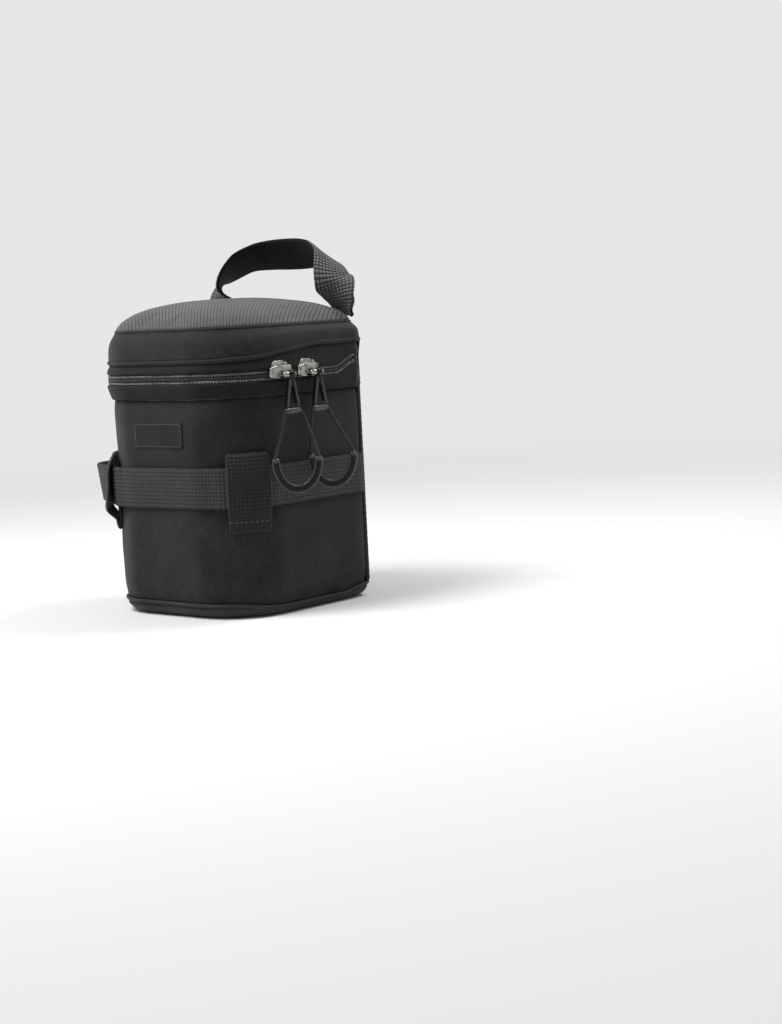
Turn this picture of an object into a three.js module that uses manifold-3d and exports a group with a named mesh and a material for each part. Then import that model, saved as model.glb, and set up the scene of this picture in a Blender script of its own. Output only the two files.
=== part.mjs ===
// Padded lens pouch: a rounded square body with a flat back, a domed lid that zips round the
// front and sides, a webbing handle, and a waist band held by two upright webbing keepers.
// Millimetres, +Z up, the front towards -Y, the origin at the centre of the base's underside.
import * as THREE from 'three';
import { mergeVertices } from 'three/addons/utils/BufferGeometryUtils.js';
import Module from 'manifold-3d';

const wasm = await Module();
wasm.setup();

// Body outline, seen from above
const bodyWidth = 98;
const bodyDepth = 98;
const frontCornerRadius = 30;
const backCornerRadius = 12;

// Cloth, padding and the gap between neighbouring pieces
const clearance = 0.3;
const fabricThickness = 1.2;
const foamThickness = 5;
const liningThickness = 0.8;
const webbingThickness = 1.2;
const webbingWidth = 19.5;

// Heights: the base seam, and how far each line above it stands over the one that it follows
const baseSeamHeight = 6.5;
const wallRise = 98.6;
const lowerTapeRise = 9.4;
const panelRise = 4;
const lidSeamFrontRise = 8;
const lidSeamBackRise = 14;
const shoulderRise = 9.5;
const domeRise = 12.9;

// Base dish and seams
const baseInset = 7;
const pipingRadius = 0.9;
const lidPipingRadius = 1.1;
const seamWidth = 2;
const seamStand = 0.7;

// Zip
const zipStand = 1.5;
const tapeThickness = 0.8;
const coilThickness = 1.6;
const coilHeight = 2.7;
const chainSplit = 1.2;
const chainRise = 5;
const tapeShoulder = 2.6;
const stopLength = 2.4;

// Lid
const lidStand = 1.6;
const lidTaper = 2.6;
const hingeGap = 1.1;

// Waist band, its keepers and its loose loop
const bandHeight = 63;
const keeperRise = 16;
const keeperDrop = 21.5;
const keeperWidth = 19.4;
const keeperThickness = 1;
const rightKeeperStand = 4.6;
const leftKeeperStand = 6.3;
const loopReach = 26.6;
const loopSwell = 1.4;

// Plain label on the front
const labelWidth = 33;
const labelHeight = 13;
const labelThickness = 0.5;
const labelHeightShare = 0.4714;

// Handle
const handleSpan = 81;
const handleRise = 32.2;
const handleWidth = 20;
const handleThickness = 2;
const handleLean = 10.2;

// Slider and its bridge
const sliderLength = 14.6;
const sliderHeight = 6.8;
const plateThickness = 1.2;
const channelDepth = 4;
const webThickness = 0.6;
const bridgeLength = 6.8;
const bridgeThickness = 1;
const bridgeWidth = 1.2;
const bridgeGap = 1.8;
const bridgeSetBack = 3.9;
const rearSliderPlace = 0.4;

// Pull tab, cord loop and grip
const eyeBore = 1.2;
const eyeWall = 0.8;
const eyeLength = 4;
const tabLength = 17.3;
const tabTopWidth = 4.4;
const tabWidth = 10;
const tabThickness = 1.8;
const tabFrame = 1.7;
const footHeight = 3.4;
const footThickness = 3;
const footBore = 1.1;
const cordRadius = 0.75;
const loopWidth = 21;
const loopOut = 4.9;
const frontLoopForward = 4;
const rearLoopForward = -1.6;
const cordDrop = 21.5;
const gripDrop = 15;
const gripRadius = 1.3;
const gripFlare = 0.4;

// Back straps and webbing rows
const rowWidth = 72;
const upperRowHeight = 86;
const rowSpacing = 30;
const strapSpacing = 44;
const strapWidth = 20;
const strapRise = 11;
const snapDrop = 12.25;
const strapPivotInset = 0.4;
const strapBend = 2;
const snapInset = 9;
const snapCapRadius = 6;
const snapNeckRadius = 2.2;
const snapBore = 1.5;
const studFlangeRadius = 5;
const studPostRadius = 1.2;
const snapPlateThickness = 0.7;
const snapCapThickness = 1.3;

// Angles in degrees and steps along curves
const seamAngle = 25;
const leftKeeperAngle = 49;
const rightKeeperAngle = 56;
const loopTurn = 35;
const handleTwist = 142;
const frontCornerSteps = 8;
const backCornerSteps = 4;
const sideSteps = 6;
const keeperSteps = 4;
const bandLoopSteps = 18;
const handleSteps = 32;
const cordSteps = 26;
const cordSides = 6;
const gripSteps = 20;
const gripSides = 8;
const holeSteps = 6;
const turnedSides = 12;
const mitreLimit = 1.4;
const domeShares = [0.16, 0.4, 0.62, 0.8, 0.91, 0.97, 1];
const domeCurve = 2.4;
const domeFullness = 0.62;
const chainRiseShare = 0.45;
const lidSeamRiseShare = 0.5;
const bandLiftShares = [1.15, 2];
const gripFlareShares = [0.36, 0.5];
const cordTensionShare = 0.4;

const halfWidth = bodyWidth / 2;
const halfDepth = bodyDepth / 2;
const wallTopHeight = baseSeamHeight + wallRise;
const chainHeight = wallTopHeight + lowerTapeRise;
const panelTopHeight = chainHeight + panelRise;
const lidSeamFrontHeight = chainHeight + lidSeamFrontRise;
const lidSeamBackHeight = chainHeight + lidSeamBackRise;
const lidShoulderHeight = lidSeamBackHeight + shoulderRise;
const lidTopHeight = lidShoulderHeight + domeRise;
const keeperHemHeight = bandHeight - keeperDrop;
const bandHalf = webbingWidth / 2;
const lowerRowHeight = upperRowHeight - rowSpacing;
const foamInset = fabricThickness + clearance;
const liningInset = foamInset + foamThickness + clearance;
const innerInset = liningInset + liningThickness;
const radians = THREE.MathUtils.degToRad;
const smooth = (low, high, value) => THREE.MathUtils.smoothstep(value, low, high);
const mix = THREE.MathUtils.lerp;

const colours = {
  fabric: { color: 0x2b2c2e, roughness: 0.92, metalness: 0 },
  ribbed: { color: 0x38393b, roughness: 0.85, metalness: 0 },
  piping: { color: 0x1c1d1f, roughness: 0.7, metalness: 0 },
  webbing: { color: 0x232426, roughness: 0.88, metalness: 0 },
  foam: { color: 0x4a4a4c, roughness: 1, metalness: 0 },
  lining: { color: 0x6d6f73, roughness: 0.95, metalness: 0 },
  tape: { color: 0x18191a, roughness: 0.9, metalness: 0 },
  coil: { color: 0x141415, roughness: 0.5, metalness: 0 },
  label: { color: 0x3a3b3e, roughness: 0.85, metalness: 0 },
  metal: { color: 0xb9babc, roughness: 0.28, metalness: 1 },
  moulded: { color: 0x1b1c1e, roughness: 0.45, metalness: 0 },
  cord: { color: 0x202124, roughness: 0.8, metalness: 0 },
};

// A closed surface from points and triangles, turned so that its faces point out
function closedGeometry(points, triangles) {
  let volume = 0;
  for (const [a, b, c] of triangles) {
    volume += points[a].dot(new THREE.Vector3().crossVectors(points[b], points[c]));
  }
  const index = volume < 0 ? triangles.map(([a, b, c]) => [a, c, b]) : triangles;
  const geometry = new THREE.BufferGeometry();
  geometry.setAttribute('position', new THREE.Float32BufferAttribute(
    points.flatMap((point) => [point.x, point.y, point.z]), 3));
  geometry.setIndex(index.flat());
  geometry.computeVertexNormals();
  return geometry;
}

// Joins loops of equally many points; the ends are closed by a flat cap or by each other
function loftLoops(loops, joined = false) {
  const count = loops[0].length;
  const points = loops.flat();
  const triangles = [];
  const bands = joined ? loops.length : loops.length - 1;
  for (let band = 0; band < bands; band += 1) {
    const near = band * count;
    const far = ((band + 1) % loops.length) * count;
    for (let i = 0; i < count; i += 1) {
      const next = (i + 1) % count;
      triangles.push([near + i, far + i, far + next], [near + i, far + next, near + next]);
    }
  }
  if (!joined) {
    const last = (loops.length - 1) * count;
    for (const [start, loop, flip] of [[0, loops[0], false], [last, loops.at(-1), true]]) {
      const centre = loop.reduce((sum, point) => sum.add(point), new THREE.Vector3());
      points.push(centre.divideScalar(count));
      for (let i = 0; i < count; i += 1) {
        const next = start + ((i + 1) % count);
        const fan = [points.length - 1, start + i, next];
        triangles.push(flip ? [fan[0], fan[2], fan[1]] : fan);
      }
    }
  }
  return closedGeometry(points, triangles);
}

// A place on the outline: where it is, and which way is out
const station = (x, y, angle) => ({ x, y, nx: Math.sin(angle), ny: -Math.cos(angle) });

// Stations on a corner; angles count from the front (-Y) towards the right (+X)
function cornerStations(centreX, centreY, radius, fromAngle, toAngle, steps) {
  return Array.from({ length: steps + 1 }, (_, i) => {
    const angle = mix(fromAngle, toAngle, i / steps);
    return station(
      centreX + radius * Math.sin(angle), centreY - radius * Math.cos(angle), angle);
  });
}

const frontCentreX = halfWidth - frontCornerRadius;
const frontCentreY = frontCornerRadius - halfDepth;
const backCentreX = halfWidth - backCornerRadius;
const backCentreY = halfDepth - backCornerRadius;
const seamHalfAngle = (seamWidth / 2 + clearance) / backCornerRadius;
const rightSeamAngle = radians(90 + seamAngle);
const quarter = Math.PI / 2;

// Front and sides, from the left rear seam round the front to the right rear seam
function frontRun() {
  const side = (sign) => Array.from({ length: sideSteps - 1 }, (_, i) => station(
    sign * halfWidth, mix(frontCentreY, backCentreY, (i + 1) / sideSteps), sign * quarter));
  const right = [
    ...cornerStations(frontCentreX, frontCentreY, frontCornerRadius, 0, quarter, frontCornerSteps),
    ...side(1),
    ...cornerStations(backCentreX, backCentreY, backCornerRadius, quarter,
      rightSeamAngle - seamHalfAngle, 2),
  ];
  const left = right.map((at) => ({ x: -at.x, y: at.y, nx: -at.nx, ny: at.ny })).reverse();
  return [...left, ...right];
}

// The back and its two corners, from the right rear seam to the left rear seam
function backRun(gap = seamHalfAngle) {
  const right = cornerStations(backCentreX, backCentreY, backCornerRadius,
    rightSeamAngle + gap, 2 * quarter, backCornerSteps);
  const left = right.map((at) => ({ x: -at.x, y: at.y, nx: -at.nx, ny: at.ny })).reverse();
  return [...right, ...left];
}

const wholeRun = () => [...frontRun(), ...backRun()];

// A section of [outwards, height] points carried along stations
function sweep(stations, sectionAt, joined = false) {
  const loops = stations.map((at) => sectionAt(at).map(([out, height]) => new THREE.Vector3(
    at.x + at.nx * out, at.y + at.ny * out, height)));
  return loftLoops(loops, joined);
}

// A closed loop parallel to the outline, drawn in by a share of its size
function outlineLoop(out, share, heightAt) {
  return wholeRun().map((at) => new THREE.Vector3(
    share * (at.x + at.nx * out), share * (at.y + at.ny * out), heightAt(at)));
}

const rectangle = (inner, outer, bottom, top) => [
  [inner, bottom], [outer, bottom], [outer, top], [inner, top]];

function roundSection(out, height, radius, sides = 6) {
  return Array.from({ length: sides }, (_, i) => {
    const angle = (2 * Math.PI * (i + 0.5)) / sides;
    return [out + radius * Math.cos(angle), height + radius * Math.sin(angle)];
  });
}

// Where the zip and the lid's lower seam run: level at the front, higher at the rear
const chainAt = (at) => chainHeight
  + chainRise * smooth(halfDepth * chainRiseShare, backCentreY, at.y);
const lidSeamAt = (at) => mix(lidSeamFrontHeight, lidSeamBackHeight,
  smooth(-halfDepth, backCentreY * lidSeamRiseShare, at.y));

const pouch = new THREE.Group();
const lid = new THREE.Group();
pouch.add(lid);

function addPiece(parent, name, geometry, finish) {
  const mesh = new THREE.Mesh(geometry, new THREE.MeshStandardMaterial(colours[finish]));
  mesh.name = name;
  parent.add(mesh);
  return mesh;
}

// Base: a shallow dish with a pad and lining in it
const dishShares = [[1, 0], [0.43, 0.22], [0.12, 0.6], [0, 1]];
function baseDish() {
  const top = baseSeamHeight - pipingRadius - clearance;
  const outer = dishShares.map(([inShare, upShare]) => outlineLoop(
    -inShare * baseInset, 1, () => upShare * top));
  const inner = dishShares.map(([inShare, upShare]) => outlineLoop(
    -fabricThickness - inShare * (baseInset - fabricThickness), 1,
    () => fabricThickness + upShare * (top - fabricThickness)));
  return loftLoops([...outer, ...inner.reverse()]);
}

function basePad() {
  const bottom = fabricThickness + clearance;
  const top = baseSeamHeight - pipingRadius - clearance;
  const rim = outlineLoop(-foamInset - clearance, 1, () => baseSeamHeight);
  return loftLoops([
    ...dishShares.map(([inShare, upShare]) => outlineLoop(
      -foamInset - clearance - inShare * (baseInset - fabricThickness), 1,
      () => bottom + upShare * (top - bottom))),
    rim,
  ]);
}

addPiece(pouch, 'base_panel', baseDish(), 'fabric');
addPiece(pouch, 'base_foam', basePad(), 'foam');
const padTop = baseSeamHeight + clearance;
addPiece(pouch, 'base_lining', loftLoops([
  outlineLoop(-liningInset, 1, () => padTop),
  outlineLoop(-liningInset, 1, () => padTop + liningThickness),
]), 'lining');
addPiece(pouch, 'base_piping', sweep(wholeRun(), () => roundSection(
  0, baseSeamHeight, pipingRadius), true), 'piping');

// Wall, back panel and the two rear seams
const wallBottom = baseSeamHeight + pipingRadius + clearance;
addPiece(pouch, 'outer_wall', sweep(frontRun(), () => rectangle(
  -fabricThickness, 0, wallBottom, wallTopHeight)), 'fabric');
addPiece(pouch, 'back_panel', sweep(backRun(), () => rectangle(
  -fabricThickness, 0, wallBottom, panelTopHeight)), 'fabric');
addPiece(pouch, 'wall_foam', sweep(wholeRun(), () => rectangle(
  -foamInset - foamThickness, -foamInset, padTop, wallTopHeight), true), 'foam');
addPiece(pouch, 'wall_lining', sweep(wholeRun(), () => rectangle(
  -innerInset, -liningInset, padTop + liningThickness + clearance, wallTopHeight), true), 'lining');
const seamSpread = seamWidth / 2 / backCornerRadius;
for (const [side, sign] of [['left', -1], ['right', 1]]) {
  const stations = cornerStations(backCentreX, backCentreY, backCornerRadius,
    rightSeamAngle - seamSpread, rightSeamAngle + seamSpread, 1)
    .map((at) => ({ x: sign * at.x, y: at.y, nx: sign * at.nx, ny: at.ny }));
  addPiece(pouch, `back_seam_${side}`, sweep(stations, () => rectangle(
    -fabricThickness, seamStand, wallBottom, wallTopHeight)), 'piping');
}

// Zip: two halves of tape and coil that meet at the chain, and an end stop at each rear corner
const tapeIn = zipStand - tapeThickness / 2;
const tapeOut = zipStand + tapeThickness / 2;
const coilIn = zipStand - coilThickness / 2;
const coilOut = zipStand + coilThickness / 2;
const tapeRun = frontRun();
const coilRun = tapeRun.slice(1, -1);
addPiece(pouch, 'lower_zip_tape', sweep(tapeRun, (at) => {
  const bottom = wallTopHeight + clearance;
  const shoulder = bottom + tapeShoulder;
  const top = chainAt(at) - chainSplit / 2 - coilHeight - clearance;
  return [[-tapeThickness, bottom], [0, bottom], [tapeOut, shoulder], [tapeOut, top],
    [tapeIn, top], [tapeIn, shoulder]];
}), 'tape');
addPiece(pouch, 'lower_zip_coil', sweep(coilRun, (at) => rectangle(coilIn, coilOut,
  chainAt(at) - chainSplit / 2 - coilHeight, chainAt(at) - chainSplit / 2)), 'coil');
addPiece(lid, 'upper_zip_coil', sweep(coilRun, (at) => rectangle(coilIn, coilOut,
  chainAt(at) + chainSplit / 2, chainAt(at) + chainSplit / 2 + coilHeight)), 'coil');
addPiece(lid, 'upper_zip_tape', sweep(tapeRun, (at) => rectangle(tapeIn, tapeOut,
  chainAt(at) + chainSplit / 2 + coilHeight + clearance,
  lidSeamAt(at) - lidPipingRadius - clearance)), 'tape');
const stopStart = clearance / backCornerRadius;
for (const [side, sign] of [['left', -1], ['right', 1]]) {
  const zipEnd = Math.atan2(coilRun.at(-1).nx, -coilRun.at(-1).ny);
  const stations = cornerStations(backCentreX, backCentreY, backCornerRadius,
    zipEnd + stopStart, zipEnd + stopStart + stopLength / backCornerRadius, 1)
    .map((at) => ({ x: sign * at.x, y: at.y, nx: sign * at.nx, ny: at.ny }));
  const stopTop = chainHeight + chainRise - chainSplit / 2;
  addPiece(pouch, `zip_stop_${side}`, sweep(stations, () => rectangle(
    coilIn, coilOut, stopTop - coilHeight, stopTop)), 'metal');
}

// Lid: gusset between two piped seams, and a dome of cloth, foam and lining
addPiece(lid, 'lid_lower_piping', sweep(wholeRun(), (at) => roundSection(
  lidStand - fabricThickness / 2, lidSeamAt(at), lidPipingRadius), true), 'piping');
const domeStand = lidStand - lidTaper - fabricThickness / 2;
addPiece(lid, 'lid_upper_piping', sweep(wholeRun(), () => roundSection(
  domeStand, lidShoulderHeight, lidPipingRadius), true), 'piping');
addPiece(lid, 'lid_gusset', sweep(wholeRun(), (at) => {
  const bottom = lidSeamAt(at) + lidPipingRadius + clearance;
  const top = lidShoulderHeight - lidPipingRadius - clearance;
  return [[lidStand - fabricThickness, bottom], [lidStand, bottom], [lidStand - lidTaper, top],
    [lidStand - lidTaper - fabricThickness, top]];
}, true), 'fabric');

const domeBase = lidShoulderHeight + lidPipingRadius + clearance;
function domeLoops(out, drop, lowest = 0) {
  return domeShares.map((share) => {
    const rise = (1 - share ** domeCurve) ** domeFullness;
    const height = domeBase - drop + (lidTopHeight - domeBase) * rise;
    return outlineLoop(out, share, () => Math.max(height, lowest));
  });
}

// A domed shell; a skirt, where it has one, widens down inside the gusset to the lid's seam
function domeShell(out, drop, thickness, skirtGap) {
  const skirt = (inset) => outlineLoop(out + lidTaper - inset, 1,
    (at) => lidSeamAt(at) + lidPipingRadius + skirtGap);
  const middle = skirtGap ? [skirt(0), skirt(thickness)] : [];
  const under = domeLoops(out - thickness, drop + thickness, skirtGap ? 0 : domeBase);
  return loftLoops([...domeLoops(out, drop), ...middle, ...under.reverse()]);
}
addPiece(lid, 'lid_top', domeShell(domeStand, 0, fabricThickness, 0), 'ribbed');
const lidFoamOut = domeStand - fabricThickness - clearance;
const lidFoamDrop = fabricThickness + clearance;
addPiece(lid, 'lid_foam', domeShell(lidFoamOut, lidFoamDrop, foamThickness, clearance), 'foam');
addPiece(lid, 'lid_lining', domeShell(lidFoamOut - foamThickness - clearance,
  lidFoamDrop + foamThickness + clearance, liningThickness, clearance), 'lining');

// Hinge: the flap turns on a line just above the back panel
const hingeHeight = panelTopHeight + hingeGap;
addPiece(lid, 'hinge_flap', sweep(backRun(), (at) => {
  const bottom = hingeHeight + clearance;
  const top = lidSeamAt(at) - lidPipingRadius - clearance;
  return [[-fabricThickness, bottom], [0, bottom], [fabricThickness, top], [0, top]];
}), 'fabric');

// Keepers: each one strip of webbing, closed at the top by a fold and at the foot by a hem
function keeperLoops(stand) {
  const half = keeperThickness / 2;
  const inner = clearance + half;
  const outer = stand - half;
  const hem = inner + keeperThickness + clearance;
  const height = keeperRise + keeperDrop - keeperThickness;
  const foot = keeperHemHeight + half;
  const lineShares = [[0, 0.04], [0, 0.5], [0, 0.95], [0.25, 1], [0.7, 0.985], [0.97, 0.92],
    [1, 0.75], [1, 0.45], [0.9, 0.3]];
  const hemShares = [0.12, 0.04];
  const line = lineShares.map(([outShare, upShare]) => new THREE.Vector2(
    mix(inner, outer, outShare), foot + height * upShare));
  line.push(new THREE.Vector2(hem + half, foot + height * hemShares[0]));
  line.push(new THREE.Vector2(hem, foot + height * hemShares[1]));
  line.push(new THREE.Vector2((inner + hem) / 2, foot));
  const offset = (distance) => line.map((point, i) => {
    const before = line[(i + line.length - 1) % line.length];
    const after = line[(i + 1) % line.length];
    const alongIn = point.clone().sub(before).normalize();
    const alongOut = after.clone().sub(point).normalize();
    const bisector = alongIn.add(alongOut).normalize();
    const stretch = 1 / Math.max(bisector.dot(alongOut), 1 / mitreLimit);
    return [point.x - bisector.y * distance * stretch, point.y + bisector.x * distance * stretch];
  });
  return [offset(half), offset(-half)];
}

// A ring of webbing carried along stations: outer faces, inner faces and both edges
function keeper(stations, stand) {
  const [wide, narrow] = keeperLoops(stand);
  const place = (at, [out, height]) => new THREE.Vector3(
    at.x + at.nx * out, at.y + at.ny * out, height);
  const count = wide.length;
  const corners = stations.map((at) => [
    ...wide.map((point) => place(at, point)), ...narrow.map((point) => place(at, point))]);
  const loops = Array.from({ length: count }, (_, i) => [
    ...corners.map((corner) => corner[i]),
    ...corners.map((corner) => corner[i + count]).reverse(),
  ]);
  return loftLoops(loops, true);
}
const keeperSpread = keeperWidth / 2 / frontCornerRadius;
function keeperRun(sign) {
  const centre = radians(sign > 0 ? rightKeeperAngle : leftKeeperAngle);
  return cornerStations(frontCentreX, frontCentreY, frontCornerRadius,
    centre - keeperSpread, centre + keeperSpread, keeperSteps)
    .map((at) => ({ x: sign * at.x, y: at.y, nx: sign * at.nx, ny: at.ny }));
}
addPiece(pouch, 'keeper_right', keeper(keeperRun(1), rightKeeperStand), 'webbing');
addPiece(pouch, 'keeper_left', keeper(keeperRun(-1), leftKeeperStand), 'webbing');

// Waist band: on the wall, lifted over each keeper's inner layer, loose in a loop at the left
const bandFlat = clearance + webbingThickness / 2;
const bandLift = keeperThickness + clearance;
const angleOf = (at) => Math.atan2(at.nx, -at.ny);
function bandOut(at) {
  const away = Math.min(Math.abs(angleOf(at) - radians(rightKeeperAngle)),
    Math.abs(angleOf(at) + radians(leftKeeperAngle)));
  const [near, far] = bandLiftShares.map((share) => share * keeperSpread);
  return bandFlat + bandLift * (1 - smooth(near, far, away));
}
function bandPath() {
  const leaveAngle = -radians(leftKeeperAngle) - keeperSpread;
  const wall = frontRun().filter((at) => angleOf(at) > leaveAngle + keeperSpread / 4);
  const leave = station(
    -frontCentreX + frontCornerRadius * Math.sin(leaveAngle),
    frontCentreY - frontCornerRadius * Math.cos(leaveAngle), leaveAngle);
  const onWall = [leave, ...wall].map((at) => {
    const swell = loopSwell * (1 - smooth(leaveAngle, leaveAngle + 2 * keeperSpread,
      angleOf(at)));
    const out = bandOut(at) + swell;
    return new THREE.Vector3(at.x + at.nx * out, at.y + at.ny * out, 0);
  });
  const loopShares = [[0.04, 0.95], [0.34, 0.8], [0.66, 0.62], [0.92, 0.43], [1, 0.26],
    [0.86, 0.13], [0.5, 0.055]];
  const loopStart = onWall[0].y;
  const loop = loopShares.map(([outShare, backShare]) => new THREE.Vector3(
    -halfWidth - bandFlat - outShare * loopReach, mix(loopStart, backCentreY, backShare), 0));
  const free = new THREE.CatmullRomCurve3([
    new THREE.Vector3(-halfWidth - bandFlat, backCentreY, 0), ...loop, onWall[0], onWall[1]]);
  const lastShare = (loop.length + 1) / (loop.length + 2);
  const bends = Array.from({ length: bandLoopSteps }, (_, i) => free.getPoint(
    (i / bandLoopSteps) * lastShare));
  return [...bends, ...onWall];
}
function stationsAlong(points) {
  return points.map((point, i) => {
    const before = points[Math.max(i - 1, 0)];
    const after = points[Math.min(i + 1, points.length - 1)];
    const along = after.clone().sub(before).normalize();
    return { x: point.x, y: point.y, nx: along.y, ny: -along.x };
  });
}
addPiece(pouch, 'waist_band', sweep(stationsAlong(bandPath()), () => rectangle(
  -webbingThickness / 2, webbingThickness / 2, bandHeight - bandHalf, bandHeight + bandHalf)),
'webbing');

// Label on the front, between the band and the top of the wall
const labelCentreHeight = mix(bandHeight + bandHalf, wallTopHeight, labelHeightShare);
const label = addPiece(pouch, 'front_label', new THREE.BoxGeometry(
  labelWidth, labelThickness, labelHeight), 'label');
label.position.set(0, -halfDepth - clearance - labelThickness / 2, labelCentreHeight);

// Handle: a strap sewn in flat at the rear seam, which twists so that its top stands on edge
function handleGeometry() {
  const foot = domeBase + clearance + handleThickness / 4;
  const back = halfDepth + domeStand + handleThickness / 2;
  const lineShares = [[-1, 0, 0, -0.05], [-0.99, 0.78, 0.3, 0], [-0.96, 1, 0.58, 0.41],
    [-0.744, 0.31, 0.894, 0.76], [-0.49, -0.07, 0.98, 0.92], [0, -0.27, 1, 1]];
  const leftSide = lineShares.map(([acrossShare, leanShare, upShare]) => new THREE.Vector3(
    (acrossShare * handleSpan) / 2, back - leanShare * handleLean, foot + upShare * handleRise));
  const rightSide = leftSide.slice(0, -1).reverse()
    .map((point) => new THREE.Vector3(-point.x, point.y, point.z));
  const line = new THREE.CatmullRomCurve3([...leftSide, ...rightSide]);
  const leftTwist = lineShares.map((shares) => new THREE.Vector2(shares[3] * handleTwist, 0));
  const twists = new THREE.SplineCurve([...leftTwist, ...leftTwist.slice(0, -1).reverse()]);
  const loops = Array.from({ length: handleSteps + 1 }, (_, i) => {
    const share = i / handleSteps;
    const mirror = share > 0.5 ? -1 : 1;
    const near = Math.min(share, 1 - share);
    const centre = line.getPointAt(near);
    const along = line.getTangentAt(near);
    const face = new THREE.Vector3(0, -1, 0).addScaledVector(along, along.y).normalize();
    const across = new THREE.Vector3().crossVectors(face, along);
    const twist = -radians(twists.getPoint(line.getUtoTmapping(near)).x);
    across.applyAxisAngle(along, twist);
    face.applyAxisAngle(along, twist);
    const corner = (acrossSign, faceSign) => {
      const point = centre.clone().addScaledVector(across, (acrossSign * handleWidth) / 2)
        .addScaledVector(face, (faceSign * handleThickness) / 2);
      point.x *= mirror;
      return point;
    };
    return [corner(-1, -1), corner(1, -1), corner(1, 1), corner(-1, 1)];
  });
  return loftLoops(loops);
}
addPiece(lid, 'handle', handleGeometry(), 'webbing');

// Solids for joining and cutting
function toSolid(geometry) {
  const bare = geometry.clone();
  bare.deleteAttribute('normal');
  bare.deleteAttribute('uv');
  const merged = mergeVertices(bare, clearance / 1000);
  return new wasm.Manifold(new wasm.Mesh({
    numProp: 3,
    vertProperties: new Float32Array(merged.attributes.position.array),
    triVerts: new Uint32Array(merged.index.array),
  }));
}
function fromSolid(solid) {
  const mesh = solid.getMesh();
  const geometry = new THREE.BufferGeometry();
  geometry.setAttribute('position', new THREE.Float32BufferAttribute(mesh.vertProperties, 3));
  geometry.setIndex([...mesh.triVerts]);
  geometry.computeVertexNormals();
  return geometry;
}

// A flat shape drawn in [y, z] and given a thickness along X, centred on zero
function plateAlongX(shape, thickness) {
  const geometry = new THREE.ExtrudeGeometry(shape, { depth: thickness, bevelEnabled: false });
  geometry.translate(0, 0, -thickness / 2);
  geometry.applyMatrix4(new THREE.Matrix4().makeBasis(
    new THREE.Vector3(0, 1, 0), new THREE.Vector3(0, 0, 1), new THREE.Vector3(1, 0, 0)));
  return geometry;
}

// A flat shape drawn in [z, x] and given a length along Y, centred on zero
function barAlongY(shape, length) {
  const geometry = new THREE.ExtrudeGeometry(
    shape, { depth: length, bevelEnabled: false, curveSegments: holeSteps });
  geometry.translate(0, 0, -length / 2);
  geometry.applyMatrix4(new THREE.Matrix4().makeBasis(
    new THREE.Vector3(0, 0, 1), new THREE.Vector3(1, 0, 0), new THREE.Vector3(0, 1, 0)));
  return geometry;
}
const polygon = (points) => new THREE.Shape(points.map(([x, y]) => new THREE.Vector2(x, y)));

// Slider, drawn with X outwards and the chain through the origin along Y
const channelIn = zipStand - channelDepth / 2;
const channelOut = zipStand + channelDepth / 2;
const plateOut = channelOut + plateThickness;
const barOut = plateOut + bridgeGap + bridgeThickness / 2;
function sliderGeometry() {
  const tall = sliderHeight / 2;
  const web = webThickness / 2;
  const body = barAlongY(polygon([
    [-tall, channelIn - plateThickness], [tall, channelIn - plateThickness], [tall, channelIn],
    [web, channelIn], [web, channelOut], [tall, channelOut], [tall, plateOut],
    [-tall, plateOut], [-tall, channelOut], [-web, channelOut], [-web, channelIn],
    [-tall, channelIn],
  ]), sliderLength);
  const post = (bridgeLength - eyeLength) / 2 - clearance;
  const long = bridgeLength / 2;
  const top = barOut + bridgeThickness / 2;
  const sunk = plateOut - plateThickness / 2;
  const arch = new THREE.ExtrudeGeometry(polygon([
    [sunk, -long], [top, -long], [top, long], [sunk, long], [sunk, long - post],
    [top - bridgeThickness, long - post], [top - bridgeThickness, post - long],
    [sunk, post - long],
  ]), { depth: bridgeWidth, bevelEnabled: false });
  arch.translate(0, bridgeSetBack, -bridgeWidth / 2);
  return fromSolid(toSolid(body).add(toSolid(arch)));
}

// Pull tab, drawn hanging below the origin: an eye, an A-shaped frame and a foot with a bore
function tabGeometry() {
  const eye = new THREE.Shape().absarc(0, 0, eyeBore + eyeWall, 0, 2 * Math.PI);
  eye.holes.push(new THREE.Path().absarc(0, 0, eyeBore, 0, 2 * Math.PI, true));
  const footTop = footHeight / 2 - tabLength;
  const startHeight = -eyeBore - eyeWall / 2;
  const frame = polygon([
    [-tabTopWidth / 2, startHeight], [tabTopWidth / 2, startHeight],
    [tabWidth / 2, footTop], [-tabWidth / 2, footTop]]);
  const windowTop = startHeight - 2 * tabFrame;
  const narrow = (tabTopWidth - tabFrame) / 2;
  frame.holes.push(new THREE.Path([
    new THREE.Vector2(-narrow / 2, windowTop),
    new THREE.Vector2(-tabWidth / 2 + tabFrame, footTop + tabFrame),
    new THREE.Vector2(tabWidth / 2 - tabFrame, footTop + tabFrame),
    new THREE.Vector2(narrow / 2, windowTop)]));
  const footShape = polygon([
    [-footHeight / 2, -footThickness / 2], [footHeight / 2, -footThickness / 2],
    [footHeight / 2, footThickness / 2], [-footHeight / 2, footThickness / 2]]);
  footShape.holes.push(new THREE.Path().absarc(0, 0, footBore, 0, 2 * Math.PI, true));
  const foot = barAlongY(footShape, tabWidth);
  foot.translate(0, 0, -tabLength);
  return fromSolid(toSolid(barAlongY(eye, eyeLength))
    .add(toSolid(plateAlongX(frame, tabThickness))).add(toSolid(foot)));
}

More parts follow.
